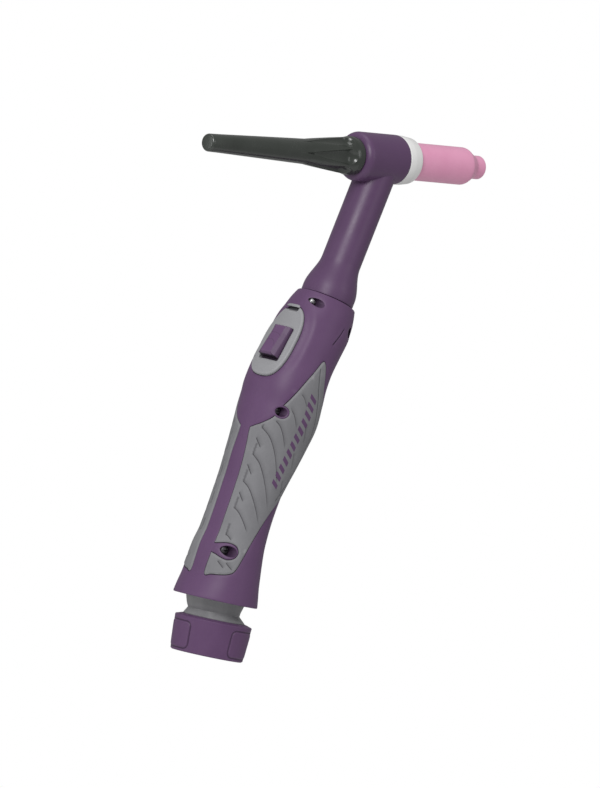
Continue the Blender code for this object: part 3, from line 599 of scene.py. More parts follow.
def distance(line, pts, closed=False):
    """Distance, signed side and position along an open or closed polyline."""
    p = np.asarray(line, float)
    q = np.roll(p, -1, 0) if closed else p[1:]
    p = p if closed else p[:-1]
    best = np.full(len(pts), 1e9)
    side, along = np.zeros(len(pts)), np.zeros(len(pts))
    run = 0.0
    for a, b in zip(p, q):
        d = b - a
        length = float(np.hypot(*d))
        if length < 1e-9:
            continue
        t = np.clip(((pts - a) @ d) / length ** 2, 0.0, 1.0)
        rel = pts - (a + t[:, None] * d)
        dist = np.hypot(rel[:, 0], rel[:, 1])
        closer = dist < best
        best = np.where(closer, dist, best)
        cross = (d[0] * (pts[:, 1] - a[1]) - d[1] * (pts[:, 0] - a[0])) / length
        side = np.where(closer, cross, side)
        along = np.where(closer, run + t * length, along)
        run += length
    return best, side, along, run


def signed(loop, pts):
    """Signed distance to a closed loop, negative inside."""
    best = distance(loop, pts, True)[0]
    return np.where(inside(loop, pts), -best, best)


def patch(loops, lines, step, keep):
    """Triangulates the flat plane with every loop and line as edges; keeps the triangles whose
    centres pass `keep`. Returns (points, triangles, boundary edges)."""
    pts, edges = [], []
    for line, closed in [(l, True) for l in loops] + [(l, False) for l in lines]:
        base, n = len(pts), len(line)
        pts += [tuple(p) for p in line]
        edges += [(base + k, base + k + 1) for k in range(n - 1)]
        if closed:
            edges.append((base + n - 1, base))
    tree = KDTree(len(pts))
    for k, p in enumerate(pts):
        tree.insert((p[0], p[1], 0.0), k)
    tree.balance()
    outer = np.asarray(loops[0])
    low, high = outer.min(0), outer.max(0)
    rows = int((high[0] - low[0]) / (step * 0.866)) + 1
    grid = []
    for i in range(rows + 1):
        s = low[0] + i * step * 0.866
        for j in range(int((high[1] - low[1]) / step) + 2):
            grid.append((s, low[1] + (j + 0.5 * (i % 2)) * step))
    grid = np.array(grid)
    grid = grid[inside(outer, grid)]
    pts += [tuple(g) for g in grid if tree.find((g[0], g[1], 0.0))[2] > 0.55 * step]
    verts, _, faces, *_ = delaunay_2d_cdt([Vector(p) for p in pts], edges, [], 0, 1e-6)
    verts = np.array([tuple(v) for v in verts])
    tris = np.array([f for f in faces if len(f) == 3])
    area = 0.5 * ((verts[tris[:, 1], 0] - verts[tris[:, 0], 0]) * (verts[tris[:, 2], 1] - verts[tris[:, 0], 1])
                  - (verts[tris[:, 2], 0] - verts[tris[:, 0], 0]) * (verts[tris[:, 1], 1] - verts[tris[:, 0], 1]))
    centres = verts[tris].mean(1)
    tris = tris[keep(centres) & (np.abs(area) > 1e-9)]
    used = np.unique(tris)
    back = np.full(len(verts), -1)
    back[used] = np.arange(len(used))
    verts, tris = verts[used], back[tris]
    count = {}
    for t in tris:
        for k in range(3):
            e = (int(t[k]), int(t[(k + 1) % 3]))
            count[tuple(sorted(e))] = None if tuple(sorted(e)) in count else e
    return verts, tris, [e for e in count.values() if e]


def close_patch(verts2d, tris, border, top, bottom):
    """A closed body between a top and a bottom point for every flat vertex."""
    n = len(verts2d)
    pts = np.vstack([top, bottom])
    faces = [tuple(t) for t in tris]
    faces += [(t[2] + n, t[1] + n, t[0] + n) for t in tris]
    faces += [(b, a, a + n, b + n) for a, b in border]
    return pts, faces


# outlines in the flat layout
PAD_LOOP = resampled(smooth_loop(flat(PAD_OUTLINE), 8), 0.7)
ARM_LOOP = resampled(smooth_loop(flat(ARM_OUTLINE), 8), 0.5)


def screw_loop(x, z, radius, count=28, w=0.0):
    out = []
    for k in range(count):
        t = 2 * math.pi * k / count
        out.append(station_of(x + radius * math.cos(t), z + radius * math.sin(t), w))
    return flat(out)


def superellipse(count, grown=0.0):
    out = []
    for k in range(count):
        t = 2 * math.pi * k / count
        c, s = math.cos(t), math.sin(t)
        square = 0.86 if c > 0 else 0.78
        out.append((BEZEL_CENTRE + (BEZEL_HALF_LENGTH + grown) * math.copysign(abs(c) ** square, c),
                    ((BEZEL_HALF_ANGLE if s > 0 else BEZEL_FAR_ANGLE) * MM_PER_DEGREE + grown) * math.copysign(abs(s) ** square, s)))
    return resampled(np.array(out), 0.6)


BEZEL_LOOP = superellipse(160)
WELLS = {label: screw_loop(x, z, radius) for label, x, z, radius, head in SCREWS}
BOSS_LOOP = screw_loop(0.9, 123.0, 3.25, 32)


def clamp01(x):
    return np.clip(x, 0.0, 1.0)


def ease(x):
    x = clamp01(x)
    return x * x * (3 - 2 * x)


# ---------------------------------------------------------------- handle shells
SLOT_LOW, SLOT_HIGH = 167.35, 168.95       # release slot at the top of the bezel, darkened inside by painted shade
SLOT_LEFT, SLOT_RIGHT = -19.0 * MM_PER_DEGREE, 9.0 * MM_PER_DEGREE


GROOVE = ((159.0, 87.5), (167.5, 96.0))     # engraved line near the back


def shell_offset(pts, right):
    """Height of a shell's outer surface over the flat layout, and how much painted shade it gets there."""
    s, v = pts[:, 0], pts[:, 1]
    w = np.zeros(len(pts))
    painted_shade = np.zeros(len(pts))
    # soft fold around the bezel
    bezel = signed(BEZEL_LOOP * (1.0, 1.0 if right else -1.0), pts)
    fade = ease((s - 134.0) / 12.0) * ease((172.5 - s) / 7.0)
    w += 0.34 * np.exp(-((bezel - 5.8) / 1.7) ** 2) * fade
    w -= 0.20 * np.exp(-((bezel - 2.6) / 1.7) ** 2) * fade
    # raised purple arm around the lower well
    if right:
        arm = signed(ARM_LOOP, pts)
        w += 0.35 * ease((-arm) / 1.0) * ease((v / MM_PER_DEGREE - 16.0) / 8.0)
    # pad pocket, with painted shade along its edge
    pad = signed(PAD_LOOP, pts)
    pocket = pad - 0.28
    if right:
        pocket = np.maximum(pocket, -(arm + 0.2))
        pocket = np.maximum(pocket, -(signed(BOSS_LOOP, pts) + 0.0))
    w -= 0.16 * (1 - ease((pocket - 0.0) / 0.45)) * (pocket > -0.03)
    w = np.where(pocket < -0.03, -1.3, w)
    painted_shade = np.maximum(painted_shade, 0.75 * (1 - ease((pocket + 0.0) / 0.22)))
    # bezel seat, with painted shade along its edge
    seat = bezel - 0.22
    w -= 0.14 * (1 - ease(seat / 0.4)) * (seat > -0.03)
    w = np.where(seat < -0.03, -1.6, w)
    painted_shade = np.maximum(painted_shade, 0.75 * (1 - ease(seat / 0.2)))
    # engraved line near the back, with painted shade in it
    d, _, along, run = distance(flat(GROOVE), pts)
    w -= 0.45 * (1 - ease((d - 0.15) / 0.45))
    painted_shade = np.maximum(painted_shade, 0.80 * (1 - ease((d - 0.15) / 0.4)))
    # notch that opens over the back screw
    if right:
        back = np.hypot(s - 168.9, (v - 123.0 * MM_PER_DEGREE) * 0.8)
        w -= 0.55 * (1 - ease((back - 1.6) / 2.6))
    # softened rims and parting edges
    w -= 0.45 * (1 - np.sqrt(np.maximum(0.0, 1 - (1 - clamp01((s - RIM_HEIGHT) / 0.8)) ** 2)))
    w -= 0.30 * (1 - np.sqrt(np.maximum(0.0, 1 - (1 - clamp01((SEAM_HEIGHT - s) / 0.5)) ** 2)))
    edge = np.minimum(v, 180 * MM_PER_DEGREE - v)
    w -= 0.02 * (1 - ease((edge - 0.02) / 0.12))
    return w, painted_shade


def build_shell(name, right):
    gap = 0.06 * MM_PER_DEGREE
    top_v = 180 * MM_PER_DEGREE - gap
    corners = [(RIM_HEIGHT, gap), (SEAM_HEIGHT, gap), (SEAM_HEIGHT, top_v), (RIM_HEIGHT, top_v)]
    sides = []
    for k in range(4):
        a, b = np.array(corners[k]), np.array(corners[(k + 1) % 4])
        count = int(np.linalg.norm(b - a) / 1.0)
        sides.append(a + (b - a) * (np.arange(count) / count)[:, None])
    outer = np.vstack(sides)
    loops = [outer, grow(PAD_LOOP, 0.28), grow(PAD_LOOP, 0.22), grow(PAD_LOOP, 0.5), grow(PAD_LOOP, 0.75)]
    seat = [superellipse(160, d) * (1.0, 1.0 if right else -1.0) for d in (0.22, 0.16, 0.4, 0.65)]
    loops += seat
    holes = []
    if right:
        loops += [grow(ARM_LOOP, -0.2), grow(ARM_LOOP, -0.14), grow(ARM_LOOP, -0.6), BOSS_LOOP, grow(BOSS_LOOP, 0.06), grow(BOSS_LOOP, -0.3)]
        for label, x, z, radius, head in SCREWS:
            holes.append(WELLS[label])
            loops += [WELLS[label], grow(WELLS[label], 0.25), grow(WELLS[label], 0.5)]
    lines = []
    for inset in (0.08, 0.2, 0.4, 0.8):
        for s in (RIM_HEIGHT + inset, SEAM_HEIGHT - inset):
            lines.append(resampled(np.array([(s, gap), (s, top_v)]), 1.0, False))
    for v in (gap + 0.1, gap + 0.25, top_v - 0.1, top_v - 0.25):
        lines.append(resampled(np.array([(RIM_HEIGHT, v), (SEAM_HEIGHT, v)]), 1.0, False))
    groove = flat(GROOVE)
    d = (groove[1] - groove[0]) / np.linalg.norm(groove[1] - groove[0])
    n = np.array([d[1], -d[0]])
    for off in (-0.6, -0.35, -0.15, 0.15, 0.35, 0.6):
        lines.append(resampled(groove + n * off, 0.5, False))
    mouth = flat([station_at_pad_frame(u, v, 0.0) for u, v in ((-11, 0.3), (-11, -7.6), (11, -7.6), (11, 0.3))])
    mouth[:, 1] = np.abs(mouth[:, 1])
    mouth = np.array([(mouth[0][0], -2.0), mouth[1], mouth[2], (mouth[3][0], -2.0)])

    def keep(c):
        ok = inside(outer, c) & ~inside(mouth, c)
        for hole in holes:
            ok &= ~inside(hole, c)
        return ok

    verts, tris, border = patch(loops + [mouth + np.array((0.0, 0.0))], lines, 1.25, keep)
    w, painted_shade = shell_offset(verts, right)
    # screw wells: sunk rims with painted shade at their edges
    if right:
        for label, x, z, radius, head in SCREWS:
            d = signed(WELLS[label], verts)
            w -= 0.22 * (1 - ease(d / 0.5))
            painted_shade = np.maximum(painted_shade, 0.5 * (1 - ease(d / 0.25)))
    top = on_handle(verts[:, 0], verts[:, 1] / MM_PER_DEGREE, w)
    bottom = on_handle(verts[:, 0], verts[:, 1] / MM_PER_DEGREE, np.full(len(verts), -WALL))
    if right:
        for label, x, z, radius, head in SCREWS:
            near = np.abs(signed(WELLS[label], verts)) < 0.02
            depth = SCREW_DEPTHS[label] - 6.4
            bottom[near] = np.stack([top[near][:, 0], np.full(near.sum(), -depth), top[near][:, 2]], -1)
    if not right:
        top[:, 1] *= -1
        bottom[:, 1] *= -1
    pts, faces = close_patch(verts, tris, border, top, bottom)
    if right:
        faces = [tuple(reversed(f)) for f in faces]
    # painted shade on the inner faces, full on the screw well walls
    inner_painted_shade = painted_shade * 0.6
    if right:
        for label in WELLS:
            inner_painted_shade = np.where(np.abs(signed(WELLS[label], verts)) < 0.02, 1.0, inner_painted_shade)
    return make(name, pts, faces, PURPLE, "handle", (name,), 38.0, np.r_[painted_shade, inner_painted_shade])


build_shell("handle_shell_right", True).name = "shell_right"
build_shell("handle_shell_left", False).name = "shell_left"


# ---------------------------------------------------------------- soft grip pads
def facet_lines():
    """Facet lines with their short top edges as dense flat polylines."""
    out = []
    for points in FACETS:
        p = flat(points)
        if len(p) > 2:
            q = np.vstack([2 * p[0] - p[1], p, 2 * p[-1] - p[-2]])
            curve = []
            for k in range(1, len(q) - 2):
                for t in np.linspace(0.0, 1.0, 8, endpoint=False):
                    curve.append(0.5 * (2 * q[k] + (q[k + 1] - q[k - 1]) * t + (2 * q[k - 1] - 5 * q[k] + 4 * q[k + 1] - q[k + 2]) * t * t
                                        + (3 * q[k] - q[k - 1] - 3 * q[k + 1] + q[k + 2]) * t ** 3))
            p = np.array(curve + [q[-2]])
        out.append(resampled(p, 0.6, False))
    return out, [resampled(flat(points), 0.5, False) for points in FACET_TOPS]


def beside(line, amount):
    """A polyline moved towards its right-hand side (increasing angle on a falling facet)."""
    d = np.gradient(line, axis=0)
    d /= np.linalg.norm(d, axis=1)[:, None]
    return line + np.stack([d[:, 1], -d[:, 0]], -1) * amount


def build_pad(name, right):
    loops = [PAD_LOOP, grow(PAD_LOOP, -0.1), grow(PAD_LOOP, -0.28), grow(PAD_LOOP, -0.85), grow(PAD_LOOP, -1.05)]
    notches = []
    if right:
        notches = [ARM_LOOP, BOSS_LOOP]
        for n in notches:
            loops += [n, grow(n, 0.1), grow(n, 0.28), grow(n, 0.85), grow(n, 1.05)]
    lines = []
    facets, tops = facet_lines()
    for body in facets:
        lines += [beside(body, off) for off in (-0.26, -0.10, 0.10, 0.45, 1.2, 2.6)]
    for edge in tops:
        lines += [beside(edge, -0.12), beside(edge, 0.12)]
    border_line = flat([(145.4, 84.0), (138.6, 93.0), (133.0, 99.6), (126.0, 107.5), (114.0, 119.5), (102.0, 123.0), (91.0, 117.0), (80.5, 100.5)])
    border_line = resampled(border_line, 0.8, False)
    lines += [beside(border_line, off) for off in (-0.35, -0.1, 0.1, 0.35)]

    def pad_distance(p):
        d = signed(PAD_LOOP, p)
        for n in notches:
            d = np.maximum(d, -signed(n, p))
        return -d

    def keep(c):
        return pad_distance(c) > 0.0

    verts, tris, border = patch(loops, lines, 0.85, keep)
    depth = pad_distance(verts)
    w = 0.04 + 0.50 * clamp01(depth / 0.85) ** 0.75
    relief = 0.30 if right else 0.48
    w -= 0.0 if right else 0.25
    # painted shade along the facet steps, their short tops and the border line
    painted_shade = np.zeros(len(verts))
    calm = ease((depth - 0.8) / 0.5)
    for body in facets:
        d, side, along, run = distance(body, verts)
        t = along / max(run, 1e-6)
        strength = ease((1.02 - t) / 0.22) * (np.abs(d - np.abs(side)) < 0.03)
        q = -side
        step = np.interp(q, [-0.10, 0.10, 0.45, 1.2, 2.6], [0.0, 1.0, 0.86, 0.5, 0.0]) * (q < 2.6)
        w -= relief * strength * step * calm
        line = np.interp(q, [-0.26, -0.10, 0.10, 0.45, 1.2, 2.6], [0.0, 0.70, 0.70, 0.22, 0.10, 0.0])
        painted_shade = np.maximum(painted_shade, strength * line * calm)
    for edge in tops:
        d = distance(edge, verts)[0]
        line = 1 - clamp01((d - 0.1) / 0.25)
        w -= 0.20 * line * calm
        painted_shade = np.maximum(painted_shade, 0.55 * line * calm)
    d, side, along, run = distance(border_line, verts)
    w -= 0.22 * (1 - clamp01(d / 0.4))
    painted_shade = np.maximum(painted_shade, 0.70 * (1 - clamp01((d - 0.1) / 0.25)))
    top = on_handle(verts[:, 0], verts[:, 1] / MM_PER_DEGREE, w)
    bottom = on_handle(verts[:, 0], verts[:, 1] / MM_PER_DEGREE, np.full(len(verts), -0.88))
    if not right:
        top[:, 1] *= -1
        bottom[:, 1] *= -1
    pts, faces = close_patch(verts, tris, border, top, bottom)
    if right:
        faces = [tuple(reversed(f)) for f in faces]
    return make(name, pts, faces, GREY, "handle", (name,), 35.0, np.r_[painted_shade, painted_shade * 0])


build_pad("grip_pad_right", True).name = "soft_pad_right"
build_pad("grip_pad_left", False).name = "soft_pad_left"


# plain slanted bars along the right pad
def build_bars():
    pts, faces = [], []
    across = (-2.3, -2.22, -0.8, 0.8, 2.22, 2.3)
    along = ((0.0, 0.05), (0.07, 0.60), (2.13, 0.60), (2.2, 0.05))
    for k in range(12):
        s0, v0 = 86.4 + 3.95 * k, (84.5 + 0.5 * k) * MM_PER_DEGREE
        base = len(pts)
        for i, c in enumerate(across):
            for d, w in along:
                pts.append((s0 + d - 0.42 * c, (v0 + c) / MM_PER_DEGREE, 0.05 if i in (0, 5) else w))
        for i in range(5):
            for j in range(3):
                a = base + 4 * i + j
                faces.append((a, a + 1, a + 5, a + 4))
    arr = np.array(pts)
    xyz = on_handle(arr[:, 0], arr[:, 1], arr[:, 2])
    return make("pad_bars_right", xyz, faces, PURPLE, "handle", (), 60.0)


build_bars()


# ---------------------------------------------------------------- switch
def build_bezel():
    window = flat([station_at_pad_frame(u, v, 0.6) for u, v in rounded(
        [(-9.15, -6.2, 0.8), (9.15, -6.2, 0.8), (9.15, 6.2, 0.8), (-9.15, 6.2, 0.8)], True, 4)])
    window = resampled(window, 0.5)
    dot_s, dot_v = 141.0, -31.0 * MM_PER_DEGREE
    dot = np.array([(dot_s + 0.32 * math.cos(t), dot_v + 0.32 * math.sin(t)) for t in np.linspace(0, 2 * math.pi, 10, endpoint=False)])
    loops = [BEZEL_LOOP] + [superellipse(160, -d) for d in (0.08, 0.2, 0.4, 0.7, 1.0, 1.3, 1.8)]
    slot = resampled(np.array([(SLOT_LOW, SLOT_LEFT), (SLOT_HIGH, SLOT_LEFT), (SLOT_HIGH, SLOT_RIGHT), (SLOT_LOW, SLOT_RIGHT)]), 0.4)
    loops += [window, grow(window, 0.15), grow(window, 0.4), dot, grow(dot, 0.12), slot, grow(slot, -0.08)]

    def keep(c):
        return inside(BEZEL_LOOP, c) & ~inside(window, c)

    verts, tris, border = patch(loops, [], 0.8, keep)
    d = -signed(BEZEL_LOOP, verts)
    e = signed(window, verts)
    proud = 0.72 + 0.55 * ease((165.0 - verts[:, 0]) / 10.0)
    w = 0.05 + proud * np.sqrt(np.maximum(0.0, 1 - (1 - clamp01(d / 1.0)) ** 2))
    w -= 0.12 * ease((d - 1.2) / 0.6)
    w -= 0.22 * (1 - ease(e / 0.4))
    # painted shade in the small dot hole, along the window's edge and inside the release slot
    hole = signed(dot, verts)
    w = np.where(hole < 0.01, w - 0.5, w)
    painted_shade = np.where(hole < 0.05, 1.0, 0.0)
    painted_shade = np.maximum(painted_shade, 0.35 * (1 - ease(e / 0.2)))
    deep = signed(slot, verts)
    w = np.where(deep < -0.04, -0.9, w)
    painted_shade = np.where(deep < 0.02, 1.0, painted_shade)
    top = on_handle(verts[:, 0], verts[:, 1] / MM_PER_DEGREE, w)
    bottom = on_handle(verts[:, 0], verts[:, 1] / MM_PER_DEGREE, np.full(len(verts), -1.2))
    pts, faces = close_patch(verts, tris, border, top, bottom)
    faces = [tuple(reversed(f)) for f in faces]
    # latch lip above the release slot
    n = len(pts)
    lip = []
    rows = [(169.0, -0.6), (169.02, 0.35), (169.2, 0.62), (169.7, 0.72), (170.2, 0.6), (170.5, 0.2), (170.6, -0.5)]
    cols = 17
    for i in range(cols):
        a = -24.0 + 31.5 * i / (cols - 1)
        squeeze = math.sqrt(max(0.0, 1 - abs(2 * i / (cols - 1) - 1) ** 6))
        for s, w0 in rows:
            lip.append((169.75 + (s - 169.75) * (0.35 + 0.65 * squeeze), a, w0 - 0.6 * (1 - squeeze)))
    arr = np.array(lip)
    xyz = on_handle(arr[:, 0], arr[:, 1], arr[:, 2])
    m = len(rows)
    for i in range(cols - 1):
        for j in range(m - 1):
            a = n + i * m + j
            faces.append((a, a + 1, a + m + 1, a + m))
    painted_shade = np.r_[painted_shade, painted_shade * 0, np.zeros(len(lip))]
    return make("switch_trim", np.vstack([pts, xyz]), faces, BEZEL, "handle", ("switch_bezel",), 35.0, painted_shade)


build_bezel()


def build_button():
    """Chamfered cap with two faint moulded arcs and a bevelled lower end, with painted shade on the lower end, the
    side chamfers, the arcs and the skirt.
    """
    half_l, half_w = 8.8, 5.45

    def axis(stops):
        out = []
        for (a, na), (b, _) in zip(stops, stops[1:]):
            out += list(np.linspace(a, b, na, endpoint=False))
        return np.array(out + [stops[-1][0]])

    us = axis([(-half_l, 4), (-7.6, 3), (-7.5, 6), (-6.5, 4), (-6.2, 50), (7.7, 6), (8.6, 3), (half_l, 1)])
    vs = axis([(-half_w, 3), (-5.25, 12), (-3.3, 6), (-2.7, 28), (2.7, 6), (3.3, 12), (5.25, 3), (half_w, 1)])
    u, v = np.meshgrid(us, vs, indexing="ij")
    t = (np.abs(v) - 3.0) / 2.5
    side = -1.9 * np.where(t < 0.0, 0.0, np.where(t < 0.16, t * t / 0.32, t - 0.08))
    lower = np.interp(u, [-8.8, -7.6, -7.5, -6.9, -6.5, -6.2], [-4.2, -4.2, -1.3, -0.28, -0.05, 0.0])
    upper = np.interp(u, [7.7, 8.2, 8.6, 8.8], [0.0, -0.12, -0.45, -1.0])
    w = np.minimum(np.minimum(side, lower), upper)
    w -= 0.35 * (1 - np.sqrt(np.maximum(0, 1 - (1 - clamp01((half_w - np.abs(v)) / 0.25)) ** 2)))
    # concentric arcs pressed into the face
    w += np.where(u > -7.55, 1.0 * clamp01((5.0 - u) / 12.0), 0.0)
    # painted shade: full on the lower end, light on the side chamfers
    painted_shade = np.maximum(np.where(u < -7.52, 1.0, 0.0), 0.32 * ease((np.abs(v) - 2.95) / 0.35))
    for cu, cv, radius in ((-3.2, 1.0, 3.4), (-3.2, 1.0, 7.4)):
        ring = np.abs(np.hypot(u - cu, v - cv) - radius)
        face = ease((3.3 - np.abs(v)) / 0.3) * (u > cu)
        w -= 0.12 * (1 - ease(ring / 0.35)) * face
        painted_shade = np.maximum(painted_shade, 0.22 * (1 - ease(ring / 0.45)) * face)
    rows, cols = u.shape
    pts = np.stack([u, v, w], -1).reshape(-1, 3)
    ring = [i * cols for i in range(rows)] + [(rows - 1) * cols + j for j in range(1, cols)] + \
           [i * cols + cols - 1 for i in range(rows - 2, -1, -1)] + [j for j in range(cols - 2, 0, -1)]
    faces = [(i * cols + j, (i + 1) * cols + j, (i + 1) * cols + j + 1, i * cols + j + 1) for i in range(rows - 1) for j in range(cols - 1)]
    base = len(pts)
    skirt = pts[ring].copy()
    skirt[:, 2] = -9.6
    pts = np.vstack([pts, skirt])
    n = len(ring)
    faces += [(ring[(k + 1) % n], ring[k], base + k, base + (k + 1) % n) for k in range(n)]
    faces.append(tuple(base + k for k in range(n - 1, -1, -1)))
    obj = make("trigger_cap", moved(PAD_FRAME, pts), faces, BUTTON, "trigger", ("trigger_button",), 40.0,
               np.r_[painted_shade.reshape(-1), np.full(n, 0.6)])
    return flip_outward(obj)


build_button()


# ---------------------------------------------------------------- swivel and collar
bx, _, bz = BALL_CENTRE


def knuckle_shift(h):
    t = clamp01((h - 17.2) / 7.0)
    return bx * t * t * (3 - 2 * t)


waist = 12.75
ball = [(BALL_RADIUS * math.cos(math.radians(a)), bz + BALL_RADIUS * math.sin(math.radians(a)), 0.0) for a in np.linspace(0.0, 47.0, 16)]
knuckle = [(CABLE_BORE, 6.0, 0.4), (SHANK_RADIUS - 0.1, 6.0, 0.5), (SHANK_RADIUS, 15.6, 0.0), (14.9, 15.7, 0.0), (14.95, 17.7, 0.2),
           (15.2, 18.5, 0.3), (waist, 21.5, 0.35)] + ball + [(CABLE_BORE, bz + BALL_RADIUS * math.sin(math.radians(47.0)), 0.5)]
knuckle = subdivided(rounded(knuckle, True, 5), 1.2)
turned("knuckle_ball", knuckle, 96, UPRIGHT, KNUCKLE, "swivel", ("swivel_knuckle",), shift=knuckle_shift)

PANEL_TURNS = (43.2, 163.2, 283.2)


def panel_distance(h, a):
    """Distance from the outline of the nearest finger panel, negative inside it."""
    best = np.full(np.shape(a), 1e3)
    for turn in PANEL_TURNS:
        arc = (np.degrees(a) - turn + 180.0) % 360.0 - 180.0
        qx, qz = np.abs(np.radians(arc) * 18.4) - 8.3 + 2.4, np.abs(h - 8.2) - 6.4 + 2.4
        d = np.hypot(np.maximum(qx, 0), np.maximum(qz, 0)) + np.minimum(np.maximum(qx, qz), 0) - 2.4
        best = np.minimum(best, d)
    return best


def collar_shape(r, h, a):
    """Raised rounded panels around the collar, each inside a shallow groove."""
    d = panel_distance(h, a)
    lift = 0.34 * ease((0.05 - d) / 0.5) - 0.24 * np.exp(-((d - 0.28) / 0.26) ** 2)
    return r + np.where(r > 16.9, lift, 0.0)


# painted shade in the shallow groove around each finger panel
def collar_painted_shade(r, h, a):
    d = panel_distance(h, a)
    return np.where(r > 16.9, 0.72 * np.exp(-((d - 0.25) / 0.30) ** 2), 0.0)


def collar_profile():
    prof = rounded([(10.6, 0.0, 0.4), (17.2, 0.0, 0.2), (17.8, 0.5, 0.4), (18.93, 17.0, 0.3), (18.6, 17.35, 0.2), (15.6, 18.3, 0.3), (15.3, 17.6, 0.0),
                    (15.3, 15.3, 0.3), (14.55, 14.9, 0.3), (14.55, 3.0, 0.5), (10.6, 3.0, 0.4)], True, 5)
    return subdivided(prof, 0.28)


turned("collar_body", collar_profile(), 400, UPRIGHT, PURPLE, "collar", ("rear_collar",), shape=collar_shape, painted_shade_of=collar_painted_shade)


# ---------------------------------------------------------------- neck, head
def boolean(obj, other, operation):
    mod = obj.modifiers.new("cut", "BOOLEAN")
    mod.operation = operation
    mod.solver = "EXACT"
    mod.object = other
    graph = bpy.context.evaluated_depsgraph_get()
    mesh = bpy.data.meshes.new_from_object(obj.evaluated_get(graph))
    obj.modifiers.clear()
    obj.data = mesh
    bpy.data.objects.remove(other, do_unlink=True)
    return obj


def solid(name, profile, segments, where, shape=None):
    """A turned solid whose first and last points lie on the axis."""
    prof = np.array(profile, float)
    prof[0, 0] = prof[-1, 0] = 0.0
    angle = 2 * math.pi * np.arange(segments) / segments
    pts, rings = [], []
    for k, (r, h) in enumerate(prof):
        if r < 1e-6:
            rings.append([len(pts)])
            pts.append((0.0, 0.0, h))
        else:
            rr = np.full(segments, r) if shape is None else shape(np.full(segments, r), np.full(segments, h), angle)
            rings.append(list(range(len(pts), len(pts) + segments)))
            pts += [(rr[j] * math.cos(angle[j]), rr[j] * math.sin(angle[j]), h) for j in range(segments)]
    faces = []
    for a, b in zip(rings, rings[1:]):
        for k in range(segments):
            n = (k + 1) % segments
            if len(a) == 1 and len(b) == 1:
                break
            if len(a) == 1:
                faces.append((a[0], b[k], b[n]))
            elif len(b) == 1:
                faces.append((a[k], b[0], a[n]))
            else:
                faces.append((a[k], b[k], b[n], a[n]))
    mesh = bpy.data.meshes.new(name)
    mesh.from_pydata([tuple(p) for p in to_metres(moved(where, pts))], [], faces)
    obj = bpy.data.objects.new(name, mesh)
    bpy.context.scene.collection.objects.link(obj)
    return flip_outward(obj)


def build_cover():
    flare = [(NECK_RADIUS + 3.5 * float(1 - ease((h - 4.0) / 16.0)), float(h)) for h in np.linspace(1.0, 20.0, 28)]
    neck = [(0.0, -7.0), (9.2, -7.0), (9.2, 0.5), (13.12, 0.5), (13.26, 0.64)] + flare + [(NECK_RADIUS, 71.0), (0.0, 71.0)]
    neck = subdivided(neck, 2.0, False)
    cover = solid("torch_cover", neck, 128, NECK)
    head = rounded([(0.0, HEAD_BACK, 0), (HEAD_RADIUS - 0.06, HEAD_BACK, 3.6), (HEAD_RADIUS - 0.06, HEAD_FRONT, 0.6), (0.0, HEAD_FRONT, 0)], False, 9)
    head = subdivided(head, 2.0, False)
    boolean(cover, solid("head_part", head, 112, HEAD), "UNION")
    boolean(cover, solid("bore", [(0, 20.0), (8.3, 20.0), (8.3, 62.0), (0, 62.0)], 72, HEAD), "DIFFERENCE")
    boolean(cover, solid("duct", [(0, -20.0), (5.1, -20.0), (5.1, 68.0), (0, 68.0)], 48, NECK), "DIFFERENCE")
    bm = bmesh.new()
    bm.from_mesh(cover.data)
    bmesh.ops.remove_doubles(bm, verts=bm.verts, dist=0.000002)
    bmesh.ops.triangulate(bm, faces=[f for f in bm.faces if len(f.verts) > 4])
    bm.to_mesh(cover.data)
    bm.free()
    cover.data.materials.clear()
    cover.data.materials.append(COVER)
    for p in cover.data.polygons:
        p.material_index = 0
    cover.data.shade_smooth()
    cover.data.set_sharp_from_angle(angle=math.radians(28))
    adopt(cover, "handle", ("torch_body_cover",))


build_cover()


# ---------------------------------------------------------------- head pieces
FLUTE_START, FLUTE_RUN, FLUTE_RADIUS = -10.0, 28.0, 5.3


def flute_cutter(k):
    """A cone that grows towards the flange and ends in a ball; its inner side runs along the cap."""
    taper = math.atan(FLUTE_RADIUS / FLUTE_RUN)
    reach = math.hypot(FLUTE_RUN, FLUTE_RADIUS)
    turn = math.radians(30.0 + 60.0 * k)
    side = Vector((math.cos(turn), math.sin(turn), 0.0))
    apex = side * 6.02 + Vector((0.0, 0.0, FLUTE_START))
    along = side * math.sin(taper) + Vector((0.0, 0.0, math.cos(taper)))
    profile = [(0.0, 0.0)] + [(reach * math.sin(taper) * math.cos(taper) * t, reach * math.cos(taper) ** 2 * t) for t in (0.25, 0.5, 0.75)]
    profile += [(FLUTE_RADIUS * math.cos(a), reach + FLUTE_RADIUS * math.sin(a)) for a in np.linspace(-taper, math.pi / 2, 16)[:-1]]
    profile.append((0.0, reach + FLUTE_RADIUS))
    return solid("flute", profile, 56, HEAD @ frame_on(apex, along))


cap = rounded([(0.0, CAP_TIP + 0.28, 0), (4.35, CAP_TIP + 0.28, 1.3), (4.5, -66.0, 0)], False, 6)
cap = cap[:-1] + [(4.5 + (h + 66.0) * 0.0285, float(h)) for h in np.arange(-66.0, -9.0, 3.0)]
cap += [(6.1 + 0.1 * (h + 9) / 3, float(h)) for h in np.arange(-9.0, -6.0, 0.5)]
cap += [(6.2 + 3.0 * ((h + 6.0) / 31.0) ** 0.9, float(h)) for h in np.arange(-6.0, 23.4, 1.4)]
cap += rounded([(9.1, 23.5, 0), (9.5, 24.4, 0.5), (9.5, 27.6, 0.5), (9.2, 28.1, 0.2), (4.7, 28.1, 0), (4.7, 40.0, 0.4), (1.9, 40.0, 0)], False, 4)
cap += [(1.9, CAP_TIP + 5.0), (0.0, CAP_TIP + 4.4)]


